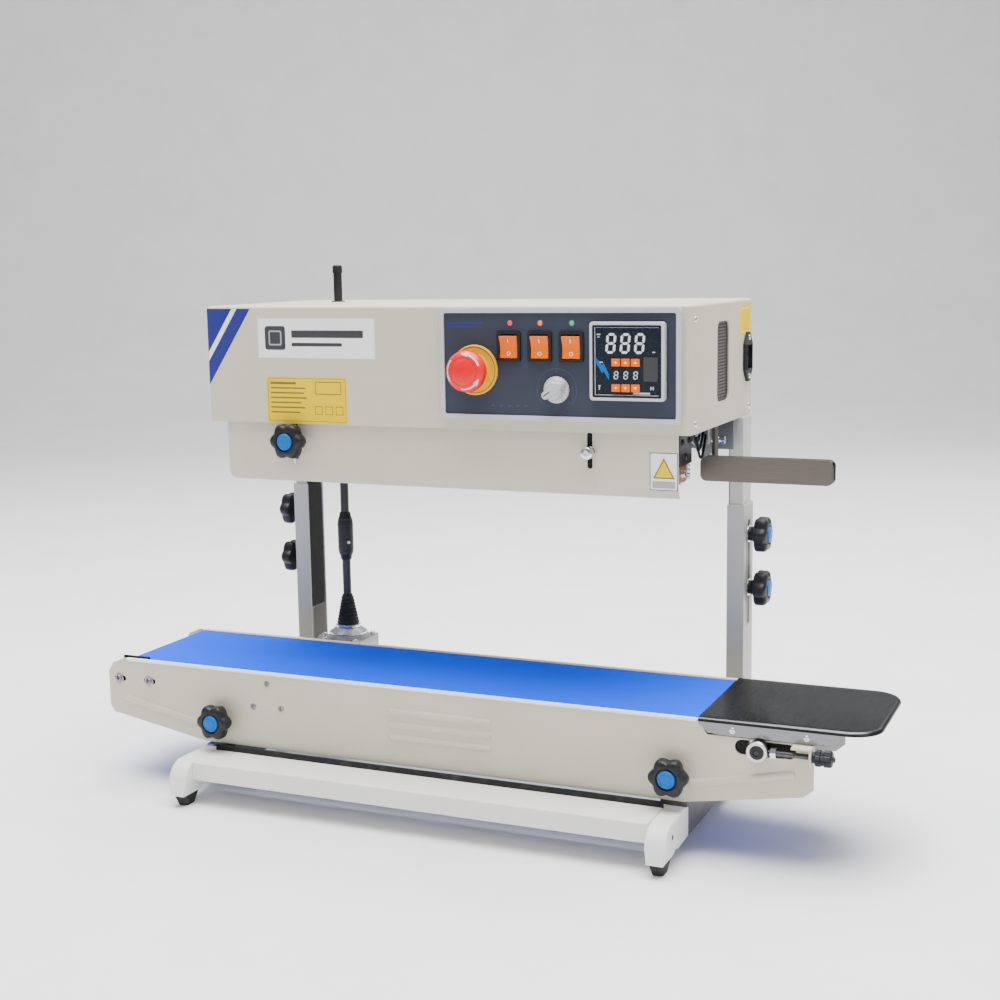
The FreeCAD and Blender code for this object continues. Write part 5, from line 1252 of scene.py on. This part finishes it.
# ---------- infeed end of the sealing section
def infeed_end():
    """Spring-loaded bolts, blocks, the grey side plate and its wires, below the head's right end."""
    under = HEAD_UNDERSIDE
    piece = Piece("infeed_mechanism", "head", "black_steel", 0.4)
    for x0, x1, y0, y1, z0, z1, material in (
            (184, 216, -79, -40, 356, under - 0.1, BLACK_STEEL), (188, 214, -77, -50, 340, 355.9, COPPER),
            (160, 183, -76, -64, 350, under - 0.1, BLACK_STEEL),
                                             (205, 208, 30, 65.9, 346, under - 0.1, MOTOR_GREY),
            (176, 214, 22, 30, 366, under - 0.1, ALUMINIUM)):
        piece.block(x0, x1, y0, y1, z0, z1, material)
    spring_foot = 342
    for x, y in ((192, -33), (208, -33)):
        at = top(x, y, spring_foot)
        piece.tube(at, helix(3.6, 4.2, 9), 0.8, CHROME, 8)
        piece.rod(at, 1.9, -2, under - spring_foot - 0.1, CHROME, 16)
        piece.rod(at, 4.6, -3.0, -0.8, CHROME, 6)
    for x, y in ((190, -70), (210, -58), (200, -46)):
        piece.hex_bolt(facing(-Z, x, y, 356 if y > -50 else 340), 3.4, 3.0)
    for y, z in ((38, 376), (60, 376), (49, 352)):
        piece.screw(right(y, z, 208), 3.2, 1.6)
    for y, z in ((-70, 378), (-48, 378), (-59, 364)):
        piece.screw(right(y, z, 216), 3.2, 1.6, BLACK_STEEL)
    for x, y, z in ((196, -26, 379), (198, -6, 372), (196, 12, 380), (212, 44, 368)):
        at = facing(X, x - 6, y, z)
        piece.rod(at, 1.9, 0, 19, CHROME, 16)
        piece.tube(facing(X, x, y, z), helix(3.4, 2.4, 4), 0.7, CHROME, 8)
        piece.rod(facing(X, x + 10, y, z), 4.2, 0, 3, CHROME, 6)
    piece.hex_bolt(right(-64, 348, 214), 3.6, 3.0)
    piece.make()
    wires = Piece("infeed_wires", "head", "rubber", 0.0, 60)
    for k in range(3):
        path = []
        for i in range(15):
            t = i / 14
            path.append((214 - 8 * t + 2.5 * k, -36 + 62 * t,
                         under - 4 - (13 + 5 * k) * math.sin(math.pi * t) - 2 * k))
        wires.tube(Matrix(), path, 1.3, BLACK if k % 2 else MATT_BLACK_AND_SHADE, 8)
    wires.make()


infeed_end()


# ---------- posts, columns and base
def stand_details():
    """Black strips down the posts' inner faces, the columns' slot trim and bolts, and the feet's plugs and
    seams.
    """
    strips = Piece("post_strips", "head", "black_plastic", 0.15)
    y = Box("column_knob_left_lower").y
    inner_left, inner_right = COLUMNS.x0 + 16.0, COLUMNS.x1 - 16.0
    for x, out in ((inner_left, 1), (inner_right, -1)):
        x0, x1 = sorted((x, x + out * 1.2))
        strips.block(x0, x1, y - 14.6, y + 14.6, POSTS.z0 + 1, POSTS.z1 - 1.5, MATT_BLACK_AND_SHADE)
    strips.make()

    caps = Piece("column_trim", "base", "column_paint", 0.2)
    for x, out in ((COLUMNS.x0, -1), (COLUMNS.x1, 1)):
        at = facing(X * out, x, y, 0)
        caps.rim(at, (14.4, 116.0, 7.1), (9.2, 110.0, 4.5), 0, 226.5, -0.2, 0.5, COLUMN_PAINT)
        for z in (60.0, 76.0):
            caps.hex_bolt(facing(X * out, x - out * 0.2, y, z), 3.9, 3.4)
    caps.make()

    foot = Piece("foot_fasteners", "base", "foot_plastic", 0.15)
    for x, out in ((BEAMS.x0, -1), (BEAMS.x1, 1)):
        for side in (-1, 1):
            at = facing(X * out, x, side * 167.0, 33.0)
            foot.lathe(at, [
                (0, -0.4), (5.0, -0.4), (5.0, 0.0), (4.4, 0.35), (3.3, 0.35), (3.1, -0.1), (0, -0.1)
            ], FOOT_PLASTIC, 32)
            foot.rod(at, 2.6, -0.15, 0.1, BLACK_STEEL, 6)
            seam = facing(X * out, x, side * 116.5, 31.5)
            foot.plate(seam, rounded(0.6, 28.6, 0.2, steps=2), -0.2, 0.12, BLACK_STEEL)
    foot.make()


stand_details()


# ---------- mains inlet
def inlet_details():
    """The inlet's screws, the rim of its socket and its three pins."""
    box = INLET
    y, z = 104.0, 447.0
    trim = Piece("inlet_trim", "head", "black_plastic", 0.0, 40)
    face = right(0, 0, box.x1)
    trim.rim(face, (20.4, 27.4, 2.6), (17.0, 24.0, 0.6), y, z, -0.3, 0.8, BLACK)
    for dz in (-19.5, 19.5):
        trim.screw(right(y, z + dz, box.x1), 2.6, 1.1)
    for dy, dz in ((-3.5, 0), (3.5, -7), (3.5, 7)):
        trim.block(box.x1 - 19, box.x1 - 3.6, y + dy - 1.1, y + dy + 1.1, z + dz - 2.1, z + dz + 2.1, BRASS)
    trim.make()


inlet_details()


# ---------- studio
def studio():
    """A plain pale floor that curves up behind, soft panels of light and the camera."""
    floor = bmesh.new()
    rows = [(-6.0, 0.0), (3.0, 0.0), (3.6, 0.06), (4.1, 0.3), (4.45, 0.75), (4.6, 1.5), (4.6, 5.0)]
    angle = math.radians(23.5)
    back = Vector((-math.sin(angle), math.cos(angle), 0))
    side = Vector((back.y, -back.x, 0))
    loops = [[floor.verts.new(back * d + side * (s * 9.0) + Z * (h - 0.0002)) for s in (-1, 1)] for d,
             h in rows]
    for low, high in zip(loops, loops[1:]):
        floor.faces.new((low[0], low[1], high[1], high[0])).smooth = True
    data = bpy.data.meshes.new("studio_floor")
    floor.to_mesh(data)
    floor.free()
    data.materials.append(FLOOR)
    ground = bpy.data.objects.new("studio_floor", data)
    bpy.context.scene.collection.objects.link(ground)

    target = Vector((-0.02, 0.0, 0.27))
    for name, place, size, power in (("key_light", (-1.7, -2.3, 2.3), 1.6, 9),
                                     ("fill_light", (2.4, -1.5, 1.5), 1.8, 7),
                                     ("top_light", (0.1, 0.1, 2.7), 2.8, 300),
                                     ("back_light", (1.0, 2.4, 1.7), 1.4, 12)):
        lamp = bpy.data.lights.new(name, "AREA")
        lamp.size = size
        lamp.energy = power
        light = bpy.data.objects.new(name, lamp)
        light.location = place
        light.rotation_euler = (target - Vector(place)).to_track_quat("-Z", "Y").to_euler()
        bpy.context.scene.collection.objects.link(light)

    world = bpy.data.worlds.new("pale_studio")
    world.use_nodes = True
    world.node_tree.nodes["Background"].inputs["Color"].default_value = (1.0, 1.0, 1.0, 1)
    world.node_tree.nodes["Background"].inputs["Strength"].default_value = 0.40
    bpy.context.scene.world = world

    eye = bpy.data.cameras.new("camera")
    eye.lens = 55.958
    eye.sensor_width = 36.0
    camera = bpy.data.objects.new("camera", eye)
    camera.location = (0.63468, -1.44811, 0.54790)
    camera.rotation_euler = [math.radians(a) for a in (81.2187, 0.9014, 23.5329)]
    bpy.context.scene.collection.objects.link(camera)
    bpy.context.scene.camera = camera


studio()
